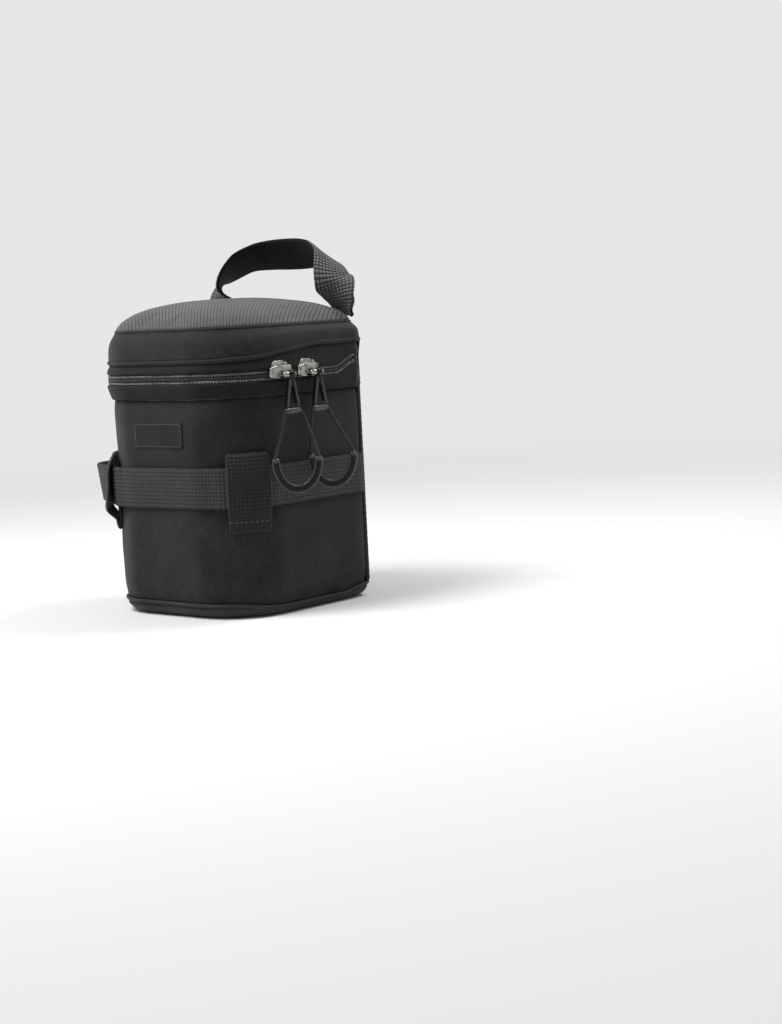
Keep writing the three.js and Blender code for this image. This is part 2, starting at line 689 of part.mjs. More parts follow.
// A round bar along a curve that stays near the YZ plane; its radius may change along the way
function roundBar(curve, steps, sides, radiusAt) {
  const loops = Array.from({ length: steps + 1 }, (_, i) => {
    const centre = curve.getPointAt(i / steps);
    const along = curve.getTangentAt(i / steps);
    const across = new THREE.Vector3(1, 0, 0).cross(along).normalize();
    const out = new THREE.Vector3().crossVectors(along, across);
    const radius = radiusAt(i / steps);
    return Array.from({ length: sides }, (__, k) => {
      const angle = (2 * Math.PI * k) / sides;
      return centre.clone().addScaledVector(out, radius * Math.cos(angle))
        .addScaledVector(across, radius * Math.sin(angle));
    });
  });
  return loftLoops(loops);
}

// Cord loop and grip, drawn with the foot's bore through the origin along Y; the grip hangs
// off the wall and turned, the front one forward, so that both grips pass each other
function cordGeometry(forward) {
  const outside = tabWidth / 2 + clearance;
  const turn = radians(loopTurn);
  const routeShares = [[0, 0, 0], [0.04, 0, 0.03], [0.13, 0, 0.12], [0.62, 0.42, 0.6], [1, 1, 1]];
  const strand = (side) => routeShares.map(([awayShare, forwardShare, downShare]) => {
    const reach = side * mix(outside, (loopWidth * Math.cos(turn)) / 2, awayShare);
    return new THREE.Vector3(awayShare * (loopOut + (side * loopWidth * Math.sin(turn)) / 2),
      reach - forwardShare * forward, -downShare * cordDrop);
  });
  const line = new THREE.CatmullRomCurve3(
    [...strand(-1).reverse(), new THREE.Vector3(), ...strand(1)], false, 'catmullrom',
    cordTensionShare);
  return roundBar(line, cordSteps, cordSides, () => cordRadius);
}
function gripGeometry(forward) {
  const half = loopWidth / 2;
  const top = -cordDrop - clearance;
  const rightShares = [[0.36, -0.93], [0.72, -0.66], [0.93, -0.3], [1, 0]];
  const right = rightShares.map(([acrossShare, downShare]) => new THREE.Vector3(
    0, acrossShare * half, top + downShare * gripDrop));
  const left = right.map((point) => new THREE.Vector3(0, -point.y, point.z)).reverse();
  const line = new THREE.CatmullRomCurve3(
    [...left, new THREE.Vector3(0, 0, top - gripDrop), ...right]);
  const bar = roundBar(line, gripSteps, gripSides, (share) => gripRadius
    + gripFlare * smooth(...gripFlareShares, Math.abs(share - 1 / 2)));
  return bar.rotateZ(-radians(loopTurn)).translate(loopOut, -forward, 0);
}

// The front slider stands where the right side meets its corner, the rear one behind it
for (const [which, along, forward] of [['front', frontCentreY, frontLoopForward],
  ['rear', rearSliderPlace, rearLoopForward]]) {
  const slider = new THREE.Group();
  slider.position.set(halfWidth, along, chainHeight);
  pouch.add(slider);
  addPiece(slider, `slider_${which}`, sliderGeometry(), 'metal');
  const tab = new THREE.Group();
  tab.position.set(barOut, bridgeSetBack, 0);
  slider.add(tab);
  addPiece(tab, `pull_tab_${which}`, tabGeometry(), 'moulded');
  const loop = new THREE.Group();
  loop.position.set(0, 0, -tabLength);
  tab.add(loop);
  addPiece(loop, `pull_cord_${which}`, cordGeometry(forward), 'cord');
  addPiece(loop, `pull_grip_${which}`, gripGeometry(forward), 'moulded');
}

// Back: two rows of webbing, and two straps that press onto studs below them
for (const [which, height] of [['upper', upperRowHeight], ['lower', lowerRowHeight]]) {
  const row = addPiece(pouch, `back_webbing_${which}`, new THREE.BoxGeometry(
    rowWidth, webbingThickness, webbingWidth), 'webbing');
  row.position.set(0, halfDepth + clearance + webbingThickness / 2, height);
}

// A round piece turned about Y, drawn in [radius, outwards] points
function turnedAlongY(profile) {
  const geometry = new THREE.LatheGeometry(
    profile.map(([radius, out]) => new THREE.Vector2(radius, out)), turnedSides);
  return fromSolid(toSolid(geometry));
}

// A strap lies over both rows and steps down to its stud below them
const strapIn = 2 * clearance + webbingThickness;
const snapIn = 2 * clearance + snapPlateThickness;
const snapOut = snapIn + webbingThickness;
const strapStep = strapIn - snapIn;
const strapTopHeight = upperRowHeight + strapRise;
const rowsBottomHeight = lowerRowHeight - bandHalf;
const snapHeight = rowsBottomHeight - snapDrop;
const strapLength = strapTopHeight - snapHeight + snapInset;
function strapGeometry() {
  const half = webbingThickness / 2;
  const bendTop = rowsBottomHeight - strapTopHeight;
  const bendFoot = bendTop - strapBend;
  const side = polygon([
    [half, strapPivotInset], [-half, strapPivotInset], [-half, bendTop],
    [-half - strapStep, bendFoot], [-half - strapStep, -strapLength],
    [half - strapStep, -strapLength], [half - strapStep, bendFoot], [half, bendTop]]);
  const hole = turnedAlongY([
    [0, -strapIn - strapStep], [snapNeckRadius + clearance, -strapIn - strapStep],
    [snapNeckRadius + clearance, strapIn], [0, strapIn]]);
  hole.translate(0, 0, snapInset - strapLength);
  return fromSolid(toSolid(plateAlongX(side, strapWidth)).subtract(toSolid(hole)));
}
for (const [side, sign] of [['left', -1], ['right', 1]]) {
  const across = (sign * strapSpacing) / 2;
  const stud = addPiece(pouch, `snap_stud_${side}`, turnedAlongY([
    [0, clearance], [studFlangeRadius, clearance],
    [studFlangeRadius, clearance + snapPlateThickness],
    [studPostRadius, clearance + snapPlateThickness], [studPostRadius, snapOut], [0, snapOut],
  ]), 'metal');
  stud.position.set(across, halfDepth, snapHeight);

  const strap = new THREE.Group();
  strap.position.set(across, halfDepth + strapIn + webbingThickness / 2, strapTopHeight);
  pouch.add(strap);
  addPiece(strap, `strap_${side}`, strapGeometry(), 'webbing');
  const capBottom = webbingThickness / 2 + clearance;
  const cap = addPiece(strap, `snap_cap_${side}`, turnedAlongY([
    [0, capBottom], [snapBore, capBottom], [snapBore, -webbingThickness / 2],
    [snapNeckRadius, -webbingThickness / 2], [snapNeckRadius, capBottom],
    [snapCapRadius, capBottom], [snapCapRadius, capBottom + snapCapThickness / 2],
    [snapCapRadius / 2, capBottom + snapCapThickness], [0, capBottom + snapCapThickness],
  ]), 'metal');
  cap.position.set(0, -strapStep, snapInset - strapLength);
}

export default pouch;
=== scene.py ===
"""Looks of a padded lens pouch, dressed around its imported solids.

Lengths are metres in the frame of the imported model: +Z up, the front towards -Y. A place on the
body's outline is its arc length from the middle of the front, positive towards the right.
"""

import logging
import math
from dataclasses import dataclass
from enum import Enum
from typing import Callable, ClassVar, Sequence

import bmesh
import bpy
import numpy as np
from mathutils import Matrix, Vector, noise


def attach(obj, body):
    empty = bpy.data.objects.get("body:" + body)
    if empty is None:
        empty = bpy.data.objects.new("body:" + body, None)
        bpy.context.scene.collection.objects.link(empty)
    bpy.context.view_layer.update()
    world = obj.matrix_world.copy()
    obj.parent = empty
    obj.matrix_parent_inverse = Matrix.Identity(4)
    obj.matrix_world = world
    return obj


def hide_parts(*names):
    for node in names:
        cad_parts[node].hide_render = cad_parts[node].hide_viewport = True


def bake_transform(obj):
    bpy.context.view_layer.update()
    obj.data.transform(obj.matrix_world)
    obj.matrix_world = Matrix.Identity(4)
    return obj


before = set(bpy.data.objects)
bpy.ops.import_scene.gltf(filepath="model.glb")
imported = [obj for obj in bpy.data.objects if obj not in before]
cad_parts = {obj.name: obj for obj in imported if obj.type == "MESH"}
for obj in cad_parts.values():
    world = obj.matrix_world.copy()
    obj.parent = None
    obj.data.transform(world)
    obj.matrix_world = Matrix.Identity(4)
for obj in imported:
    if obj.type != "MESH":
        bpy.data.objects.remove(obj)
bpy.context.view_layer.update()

LOG = logging.getLogger("pouch")
MM = 0.001
TINY = 1e-12
CLOSE = 1e-9
PATTERN, RIBS, OUTWARD = "pattern", "rib", "outward"
SIDES = (("left", -1), ("right", 1))
Colour = tuple[float, float, float]


def smooth(low: float, high: float, value: np.ndarray | float) -> np.ndarray:
    """Eases from 0 at low to 1 at high."""
    share = np.clip((np.asarray(value, float) - low) / (high - low), 0, 1)
    return share * share * (3 - 2 * share)


def ripple(across: np.ndarray, along: np.ndarray, size: float, seed: float) -> np.ndarray:
    """Even noise over a surface, from -1 to 1.

    Args:
        across: Places along the first direction, in metres.
        along: Places along the second direction, in metres.
        size: Width of one bump, in metres.
        seed: Where in the noise the piece looks.

    Returns:
        The noise at every place.
    """
    across, along = np.broadcast_arrays(across, along)
    flat = zip(np.ravel(across) / size, np.ravel(along) / size)
    return np.array([noise.noise((a, b, seed)) for a, b in flat]).reshape(across.shape)


def normed(vectors: np.ndarray) -> np.ndarray:
    """The same directions with a length of one."""
    return vectors / np.maximum(np.linalg.norm(vectors, axis=-1, keepdims=True), TINY)


def steps_of(points: np.ndarray, closed: bool = False) -> np.ndarray:
    """Steps along the first axis of a line or grid, taken round where it is closed."""
    ringed = np.concatenate([points[-1:], points, points[:1]]) if closed else points
    steps = np.gradient(ringed, axis=0)
    return steps[1:-1] if closed else steps


def run_of(points: np.ndarray) -> np.ndarray:
    """Length from the start of a polyline to each of its points."""
    return np.append(0, np.cumsum(np.linalg.norm(np.diff(points, axis=0), axis=1)))


def read_at(wanted: np.ndarray, run: np.ndarray, rows: np.ndarray) -> np.ndarray:
    """Rows of values at wanted lengths, where they are known at the lengths of run."""
    return np.stack([np.interp(wanted, run, column) for column in rows.T], 1)


def resample(points: np.ndarray, count: int) -> np.ndarray:
    """Spreads count points evenly along a polyline."""
    run = run_of(points)
    return read_at(np.linspace(0, run[-1], count), run, points)


def curve_through(points: Sequence[Sequence[float]], count: int) -> np.ndarray:
    """A smooth curve through points, as count evenly spread points.

    Args:
        points: The points that the curve passes through.
        count: How many points to return.

    Returns:
        An array of count rows.
    """
    knots = np.asarray(points, float)
    padded = np.vstack([2 * knots[0] - knots[1], knots, 2 * knots[-1] - knots[-2]])
    pieces = []
    share = np.linspace(0, 1, 24)[:, None]
    for p0, p1, p2, p3 in zip(padded, padded[1:], padded[2:], padded[3:]):
        d0, d1, d2 = (max(math.sqrt(np.linalg.norm(b - a)), MM ** 2)
                      for a, b in ((p0, p1), (p1, p2), (p2, p3)))
        m1 = d1 * ((p1 - p0) / d0 - (p2 - p0) / (d0 + d1) + (p2 - p1) / d1)
        m2 = d1 * ((p2 - p1) / d1 - (p3 - p1) / (d1 + d2) + (p3 - p2) / d2)
        pieces.append(p1 * (1 + share ** 2 * (2 * share - 3)) + p2 * share ** 2 * (3 - 2 * share)
                      + m1 * share * (1 - share) ** 2 + m2 * share ** 2 * (share - 1))
    return resample(np.vstack(pieces), count)


def new_object(name: str, data: bpy.types.ID) -> bpy.types.Object:
    """Puts a mesh, curve, camera or lamp into the scene as an object at the origin."""
    made = bpy.data.objects.new(name, data)
    bpy.context.scene.collection.objects.link(made)
    return made


def mesh_object(name: str, points: np.ndarray, faces: Sequence[Sequence[int]],
                pattern: np.ndarray | None = None, edges: Sequence[Sequence[int]] = ()
                ) -> bpy.types.Object:
    """A mesh with smooth faces, as an object at the origin.

    Args:
        name: Name of the piece.
        points: Its points.
        faces: Its faces, as numbers of points.
        pattern: Place of each face's corners in the pattern, in metres.
        edges: Loose edges, for a line without faces.

    Returns:
        The object.
    """
    mesh = bpy.data.meshes.new(name)
    mesh.from_pydata(np.asarray(points).tolist(), list(edges), list(faces))
    if pattern is not None:
        layer = mesh.uv_layers.new(name=PATTERN)
        layer.data.foreach_set("uv", pattern.astype(np.float32).ravel())
    mesh.polygons.foreach_set("use_smooth", [True] * len(mesh.polygons))
    mesh.update()
    return new_object(name, mesh)


@dataclass
class Outline:
    """The body seen from above: a rounded square with wide front and tight rear corners."""

    half_width: float = 49 * MM
    half_depth: float = 49 * MM
    front_radius: float = 30 * MM
    back_radius: float = 12 * MM
    seam_angle: float = math.radians(25)

    def __post_init__(self) -> None:
        """Works out the arc lengths at which the outline changes."""
        quarter = math.pi / 2
        self.corner_start = self.half_width - self.front_radius
        self.side_start = self.corner_start + quarter * self.front_radius
        side = 2 * self.half_depth - self.front_radius - self.back_radius
        self.back_corner_start = self.side_start + side
        self.back_start = self.back_corner_start + quarter * self.back_radius
        self.half = self.back_start + self.half_width - self.back_radius
        self.seam = self.back_corner_start + self.seam_angle * self.back_radius
        self.front_centre = (self.corner_start, self.front_radius - self.half_depth)
        self.back_centre = (self.half_width - self.back_radius, self.half_depth - self.back_radius)

    def at(self, place: np.ndarray) -> tuple[np.ndarray, np.ndarray]:
        """Points and outward directions on the outline.

        Args:
            place: Arc lengths from the front; past the rear middle they run on to the left.

        Returns:
            Two arrays with x and y in their last axis.
        """
        place = np.asarray(place, float)
        place = (place + self.half) % (2 * self.half) - self.half
        side, run = np.where(place < 0, -1.0, 1.0), np.abs(place)
        front_turn = (run - self.corner_start) / self.front_radius
        back_turn = (run - self.back_corner_start) / self.back_radius + math.pi / 2
        on = [run < self.corner_start, run < self.side_start, run < self.back_corner_start,
              run < self.back_start, run >= self.back_start]
        angle = np.select(on, [0, front_turn, math.pi / 2, back_turn, math.pi])
        nx, ny = np.sin(angle), -np.cos(angle)
        (fx, fy), (bx, by) = self.front_centre, self.back_centre
        x = np.select(on, [run, fx + self.front_radius * nx, self.half_width,
                           bx + self.back_radius * nx, self.half - run])
        y = np.select(on, [-self.half_depth, fy + self.front_radius * ny,
                           fy + run - self.side_start, by + self.back_radius * ny,
                           self.half_depth])
        return np.stack([side * x, y], -1), np.stack([side * nx, ny], -1)

    def place_of(self, angle: float) -> float:
        """Arc length at which a front corner faces an angle, counted from the front."""
        return math.copysign(self.corner_start + abs(angle) * self.front_radius, angle)

    def surface(self, place: np.ndarray, height: np.ndarray, out: np.ndarray) -> np.ndarray:
        """Points that stand off the outline.

        Args:
            place: Arc lengths, one for each row or for each point.
            height: Heights of the points.
            out: How far each point stands off the outline.

        Returns:
            An array of points, with x, y and z in its last axis.
        """
        place, height, out = np.broadcast_arrays(place, height, out)
        point, normal = self.at(place)
        return np.concatenate([point + normal * out[..., None], height[..., None]], -1)

    def row(self, place: np.ndarray, height: np.ndarray | float, out: float
            ) -> tuple[np.ndarray, np.ndarray]:
        """A line that stands off the outline, and the outward direction at each point."""
        return self.surface(place, height, out), np.pad(self.at(place)[1], ((0, 0), (0, 1)))

    def around(self, spacing: float) -> np.ndarray:
        """Arc lengths all the way round, evenly spaced, without the doubled last one."""
        count = round(2 * self.half / spacing)
        return -self.half + 2 * self.half * np.arange(count) / count


OUTLINE = Outline()


def disc(form: Callable[[np.ndarray, np.ndarray], np.ndarray], count: int) -> np.ndarray:
    """A square grid bent onto a rounded panel, so that it has no pole.

    Args:
        form: Gives points from shares of the way out and arc lengths.
        count: Points on each side of the grid.

    Returns:
        A grid of points.
    """
    line = np.linspace(-1, 1, count)
    a, b = np.meshgrid(line, line, indexing="ij")
    share = np.maximum(np.abs(a), np.abs(b))
    x, y = (at / np.maximum(share, CLOSE) for at in (a, b))
    on_front, on_back, on_right = y <= -1 + CLOSE, y >= 1 - CLOSE, x >= 1 - CLOSE
    eighth = 0.5 * OUTLINE.side_start + 0.5 * OUTLINE.corner_start
    rear = 0.5 * (OUTLINE.back_corner_start + OUTLINE.back_start)
    side = eighth + (y + 1) / 2 * (rear - eighth)
    place = np.select([on_front, on_back, on_right],
                      [x * eighth, np.sign(x + TINY) * (OUTLINE.half - np.abs(x)
                                                        * (OUTLINE.half - rear)), side], -side)
    return form(share, place)


def shell(name: str, middle: np.ndarray, thickness: float, closed: bool = False,
          relief: np.ndarray | float = 0.0, back_relief: float = 1.0,
          ribs: np.ndarray | None = None) -> bpy.types.Object:
    """A closed sheet of cloth with rounded edges about a grid of points.

    Args:
        name: Name of the piece.
        middle: Grid of points halfway through the sheet.
        thickness: Thickness of the sheet.
        closed: Whether the grid's rows join into a ring.
        relief: How far each point of the face is raised.
        back_relief: Share of the relief that the back has.
        ribs: Each point's count of ribs, kept for the finish to read.

    Returns:
        The object, with its pattern's places in the UV map.
    """
    rows, cols = middle.shape[:2]
    normal = normed(np.cross(steps_of(middle, closed), np.gradient(middle, axis=1)))
    width = np.pad(np.cumsum(np.linalg.norm(np.diff(middle, axis=1), axis=2), axis=1),
                   ((0, 0), (1, 0)))
    after = np.concatenate([middle, middle[:1]]) if closed else middle
    length = np.append(0, np.cumsum(np.linalg.norm(np.diff(after, axis=0), axis=2).mean(1)))
    edge = np.minimum(width, width[:, -1:] - width)
    if not closed:
        edge = np.minimum(edge, np.minimum(length, length[-1] - length)[:, None])
    radius = thickness / 2
    swell = np.sqrt(1 - np.clip(1 - edge / radius, 0, 1) ** 2)
    front = middle + normal * (swell * (radius + relief))[..., None]
    back = middle - normal * (swell * (radius + relief * back_relief))[..., None]
    face = np.arange(rows * cols).reshape(rows, cols)
    rear = face + rows * cols
    rear[:, [0, -1]] = face[:, [0, -1]]
    if not closed:
        rear[[0, -1]] = face[[0, -1]]
    across = (width - width[:, -1:] / 2)[np.arange(len(length)) % rows]
    spots = np.stack([across, np.broadcast_to(length[:, None], across.shape)], -1)
    i, j = (at.ravel() for at in np.meshgrid(
        np.arange(len(length) - 1), np.arange(cols - 1), indexing="ij"))
    corners = [(i, j), (i + 1, j), (i + 1, j + 1), (i, j + 1)]
    quads = np.stack([face[r % rows, c] for r, c in corners], 1)
    backs = np.stack([rear[r % rows, c] for r, c in corners[::-1]], 1)
    pattern = np.stack([spots[r, c] for r, c in corners], 1)
    used, flat = np.unique(np.concatenate([quads, backs]), return_inverse=True)
    points = np.concatenate([front.reshape(-1, 3), back.reshape(-1, 3)])[used]
    made = mesh_object(name, points, flat.reshape(-1, 4).tolist(),
                       np.concatenate([pattern, pattern[:, ::-1]]))
    if ribs is not None:
        held = made.data.attributes.new(RIBS, "FLOAT", "POINT")
        held.data.foreach_set("value", ribs.ravel()[used % (rows * cols)].astype(np.float32))
    return made


def ring_faces(count: int, sides: int, closed: bool = False) -> list[tuple[int, ...]]:
    """Faces between rings of points that follow each other.

    Args:
        count: How many rings there are.
        sides: Points in each ring.
        closed: Whether the last ring joins the first.

    Returns:
        The faces; where it isn't closed, two points after the rings are the tips.
    """
    faces = []
    for i in range(count if closed else count - 1):
        low, high = i * sides, (i + 1) % count * sides
        faces += [(low + k, low + (k + 1) % sides, high + (k + 1) % sides, high + k)
                  for k in range(sides)]
    if not closed:
        tip, last = count * sides, (count - 1) * sides
        for k in range(sides):
            after = (k + 1) % sides
            faces += [(tip, after, k), (tip + 1, last + k, last + after)]
    return faces


def tube(name: str, line: np.ndarray, radius: np.ndarray | float, sides: int = 12,
         closed: bool = False, flat: float = 1.0, up: Sequence[float] = (0, 0, 1)
         ) -> bpy.types.Object:
    """A round or oval bar along a line, closed at its ends.

    Args:
        name: Name of the piece.
        line: Points along the middle.
        radius: Radius, one for all points or one each.
        sides: Faces round the bar.
        closed: Whether the line joins into a ring.
        flat: Width towards up as a share of the width across it.
        up: Direction that the section's first axis stays close to.

    Returns:
        The object, with lengths round and along the bar in the UV map.
    """
    count = len(line)
    along = normed(steps_of(line, closed))
    first = normed(np.asarray(up, float) - along * (along @ np.asarray(up, float))[:, None])
    second = np.cross(along, first)
    size = np.broadcast_to(radius, count).astype(float)[:, None, None]
    turn = np.linspace(0, 2 * math.pi, sides, endpoint=False)[None, :, None]
    points = (line[:, None] + size * (flat * np.cos(turn) * first[:, None]
                                      + np.sin(turn) * second[:, None])).reshape(-1, 3)
    run = run_of(line)
    run = np.append(run, run[-1] + np.linalg.norm(line[0] - line[-1]))
    girth = 2 * math.pi * float(size.mean()) / sides
    i, k = np.meshgrid(np.arange(count if closed else count - 1), np.arange(sides),
                       indexing="ij")
    pattern = np.stack([np.stack([(k + across) * girth, run[i + after]], -1) for across, after
                        in ((0, 0), (1, 0), (1, 1), (0, 1))], 2).reshape(-1, 2)
    if not closed:
        points = np.concatenate([points, [line[0] - along[0] * size[0, 0] / 2,
                                          line[-1] + along[-1] * size[-1, 0] / 2]])
        pattern = np.concatenate([pattern, np.zeros((2 * 3 * sides, 2))])
    return mesh_object(name, points, ring_faces(count, sides, closed), pattern)


def turned_outwards(piece: bpy.types.Object) -> bpy.types.Object:
    """Merges a closed mesh's doubled points and turns its faces outwards."""
    work = bmesh.new()
    work.from_mesh(piece.data)
    bmesh.ops.remove_doubles(work, verts=work.verts, dist=0.001 * MM)
    bmesh.ops.recalc_face_normals(work, faces=work.faces)
    for face in work.faces:
        face.smooth = True
    work.to_mesh(piece.data)
    work.free()
    return piece


def applied(piece: bpy.types.Object) -> None:
    """Turns a piece and its modifiers into one plain mesh."""
    graph = bpy.context.evaluated_depsgraph_get()
    mesh = bpy.data.meshes.new_from_object(piece.evaluated_get(graph))
    piece.modifiers.clear()
    old, piece.data = piece.data, mesh
    bpy.data.meshes.remove(old)
    mesh.name = piece.name


def joined(name: str, pieces: Sequence[bpy.types.Object]) -> bpy.types.Object:
    """Joins meshes into one piece and keeps their UV maps and finishes."""
    work, finishes = bmesh.new(), []
    for piece in pieces:
        start = len(work.faces)
        work.from_mesh(piece.data)
        work.faces.ensure_lookup_table()
        worn = [piece.data.materials[face.material_index] if piece.data.materials else None
                for face in work.faces[start:]]
        finishes += [finish for finish in dict.fromkeys(worn) if finish not in finishes]
        for face, finish in zip(work.faces[start:], worn):
            face.material_index = finishes.index(finish)
    mesh = bpy.data.meshes.new(name)
    work.to_mesh(mesh)
    work.free()
    for finish in filter(None, finishes):
        mesh.materials.append(finish)
    for piece in pieces:
        bpy.data.objects.remove(piece)
    return new_object(name, mesh)


@dataclass(frozen=True)
class Bar:
    """A small rounded bar along X that a row repeats, such as a stitch, a tooth or a rib."""

    length: float
    width: float
    height: float
    pitch: float
    segments: int = 8
    rings: int = 5
    fullness: float = 0.6

    def build(self) -> bpy.types.Object:
        """Makes the bar's mesh, kept out of the picture."""
        angle = math.pi * np.arange(1, self.rings)[:, None] / self.rings
        turn = 2 * math.pi * np.arange(self.segments)[None] / self.segments
        swell = np.sin(angle) ** self.fullness
        points = np.stack([-np.cos(angle) * self.length / 2 + 0 * turn,
                           swell * np.cos(turn) * self.width / 2,
                           swell * np.sin(turn) * self.height / 2], -1).reshape(-1, 3)
        tips = [(-self.length / 2, 0, 0), (self.length / 2, 0, 0)]
        made = turned_outwards(mesh_object("bar", np.concatenate([points, tips]),
                                           ring_faces(self.rings - 1, self.segments)))
        made.hide_render = True
        return made


STITCH = Bar(2.3 * MM, 0.5 * MM, 0.4 * MM, 3.2 * MM)
TACK = Bar(1.5 * MM, 0.5 * MM, 0.4 * MM, 1.7 * MM)


@dataclass
class Simulation:
    """Cloth that is pressed outwards between its seams, run at a coarse spacing."""

    scale: float = 10.0
    frames: int = 20
    quality: int = 8
    mass: float = 0.3
    stretch_stiffness: float = 12
    bend_stiffness: float = 1.5
    cap: float = 1.0 * MM
    kept: float = 0.5

    def press(self, sheet: np.ndarray, rows: int, cols: int, pressure: float, slack: float
              ) -> np.ndarray:
        """Swells a sheet that is held at its edges and gives how far each point moves.

        Args:
            sheet: Fine grid of the sheet at rest.
            rows: Rows of the coarse cloth.
            cols: Columns of the coarse cloth.
            pressure: Pressure from behind.
            slack: Share by which the cloth is larger than its place.

        Returns:
            The kept share of every point's move.
        """
        down, over = (np.linspace(0, size - 1, count).astype(int)
                      for size, count in zip(sheet.shape, (rows, cols)))
        grid = sheet[down][:, over]
        held = np.zeros((rows, cols))
        held[[0, -1]], held[:, [0, -1]] = 1, 1
        index = np.arange(rows * cols).reshape(rows, cols)
        quads = np.stack([index[:-1, :-1], index[1:, :-1], index[1:, 1:], index[:-1, 1:]], -1)
        trial = mesh_object("cloth_trial", grid.reshape(-1, 3) * self.scale,
                            quads.reshape(-1, 4).tolist())
        group = trial.vertex_groups.new(name="held")
        for point, weight in enumerate(held.ravel()):
            group.add([point], float(weight), "REPLACE")
        cloth = trial.modifiers.new("cloth", "CLOTH")
        rule = cloth.settings
        rule.quality, rule.mass = self.quality, self.mass
        rule.use_pressure, rule.uniform_pressure_force = True, pressure
        rule.tension_stiffness = rule.compression_stiffness = self.stretch_stiffness
        rule.bending_stiffness = self.bend_stiffness
        rule.shrink_min = -slack
        rule.vertex_group_mass = "held"
        rule.effector_weights.gravity = 0
        cloth.point_cache.frame_start, cloth.point_cache.frame_end = 1, self.frames
        scene = bpy.context.scene
        for moment in range(1, self.frames + 1):
            scene.frame_set(moment)
        found = trial.evaluated_get(bpy.context.evaluated_depsgraph_get())
        moved = np.empty(rows * cols * 3)
        found.data.vertices.foreach_get("co", moved)
        scene.frame_set(1)
        bpy.data.objects.remove(trial)
        move = moved.reshape(rows, cols, 3) / self.scale - grid
        size = np.linalg.norm(move, axis=2, keepdims=True)
        move = move * np.minimum(1, self.cap / np.maximum(size, CLOSE))
        return self.kept * spread_grid(move, *sheet.shape[:2])


def spread_grid(values: np.ndarray, rows: int, cols: int) -> np.ndarray:
    """Carries values from a coarse grid onto a fine one, smoothly."""
    def along(data: np.ndarray, count: int) -> np.ndarray:
        """Eases the first axis to count steps with a cubic through the coarse values."""
        size = data.shape[0]
        at = np.linspace(0, size - 1, count)
        low = np.clip(at.astype(int), 0, size - 2)
        share = (at - low).reshape(-1, *[1] * (data.ndim - 1))
        p0, p1 = data[np.clip(low - 1, 0, size - 1)], data[low]
        p2, p3 = data[low + 1], data[np.clip(low + 2, 0, size - 1)]
        return (p1 + 0.5 * share * (p2 - p0 + share * (2 * p0 - 5 * p1 + 4 * p2 - p3
                + share * (3 * (p1 - p2) + p3 - p0))))
    half_way = along(values, rows)
    return np.swapaxes(along(np.swapaxes(half_way, 0, 1), cols), 0, 1)


class TreeWriter:
    """Short ways to write a tree of nodes."""

    def __init__(self, tree: bpy.types.NodeTree) -> None:
        """Keeps the tree that is written."""
        self.tree = tree

    def plug(self, socket: bpy.types.NodeSocket, value: object) -> None:
        """Links a socket, or sets it where the value is a plain one."""
        if isinstance(value, bpy.types.NodeSocket):
            self.tree.links.new(value, socket)
        else:
            socket.default_value = value

    def add(self, kind: str, inputs: dict[str | int, object] | None = None, **settings: object
            ) -> bpy.types.bpy_prop_collection:
        """Adds one node.

        Args:
            kind: The node's type.
            inputs: What its sockets get, by label or number: another socket or a value.
            settings: Choices of the node itself.

        Returns:
            The sockets that the node gives out.
        """
        node = self.tree.nodes.new(kind)
        for label, value in settings.items():
            setattr(node, label, value)
        for label, value in (inputs or {}).items():
            self.plug(node.inputs[label], value)
        return node.outputs

    def math(self, operation: str, *values: object) -> bpy.types.NodeSocket:
        """One sum on numbers or sockets."""
        return self.add("ShaderNodeMath", dict(enumerate(values)), operation=operation)[0]

    def seen(self) -> bpy.types.NodeSocket:
        """1 where the eye looks, straight, through glass or in a reflection, and 0 for light."""
        path = self.add("ShaderNodeLightPath")
        most = self.math("MAXIMUM", path["Is Camera Ray"], path["Is Glossy Ray"])
        return self.math("MAXIMUM", most, path["Is Transmission Ray"])


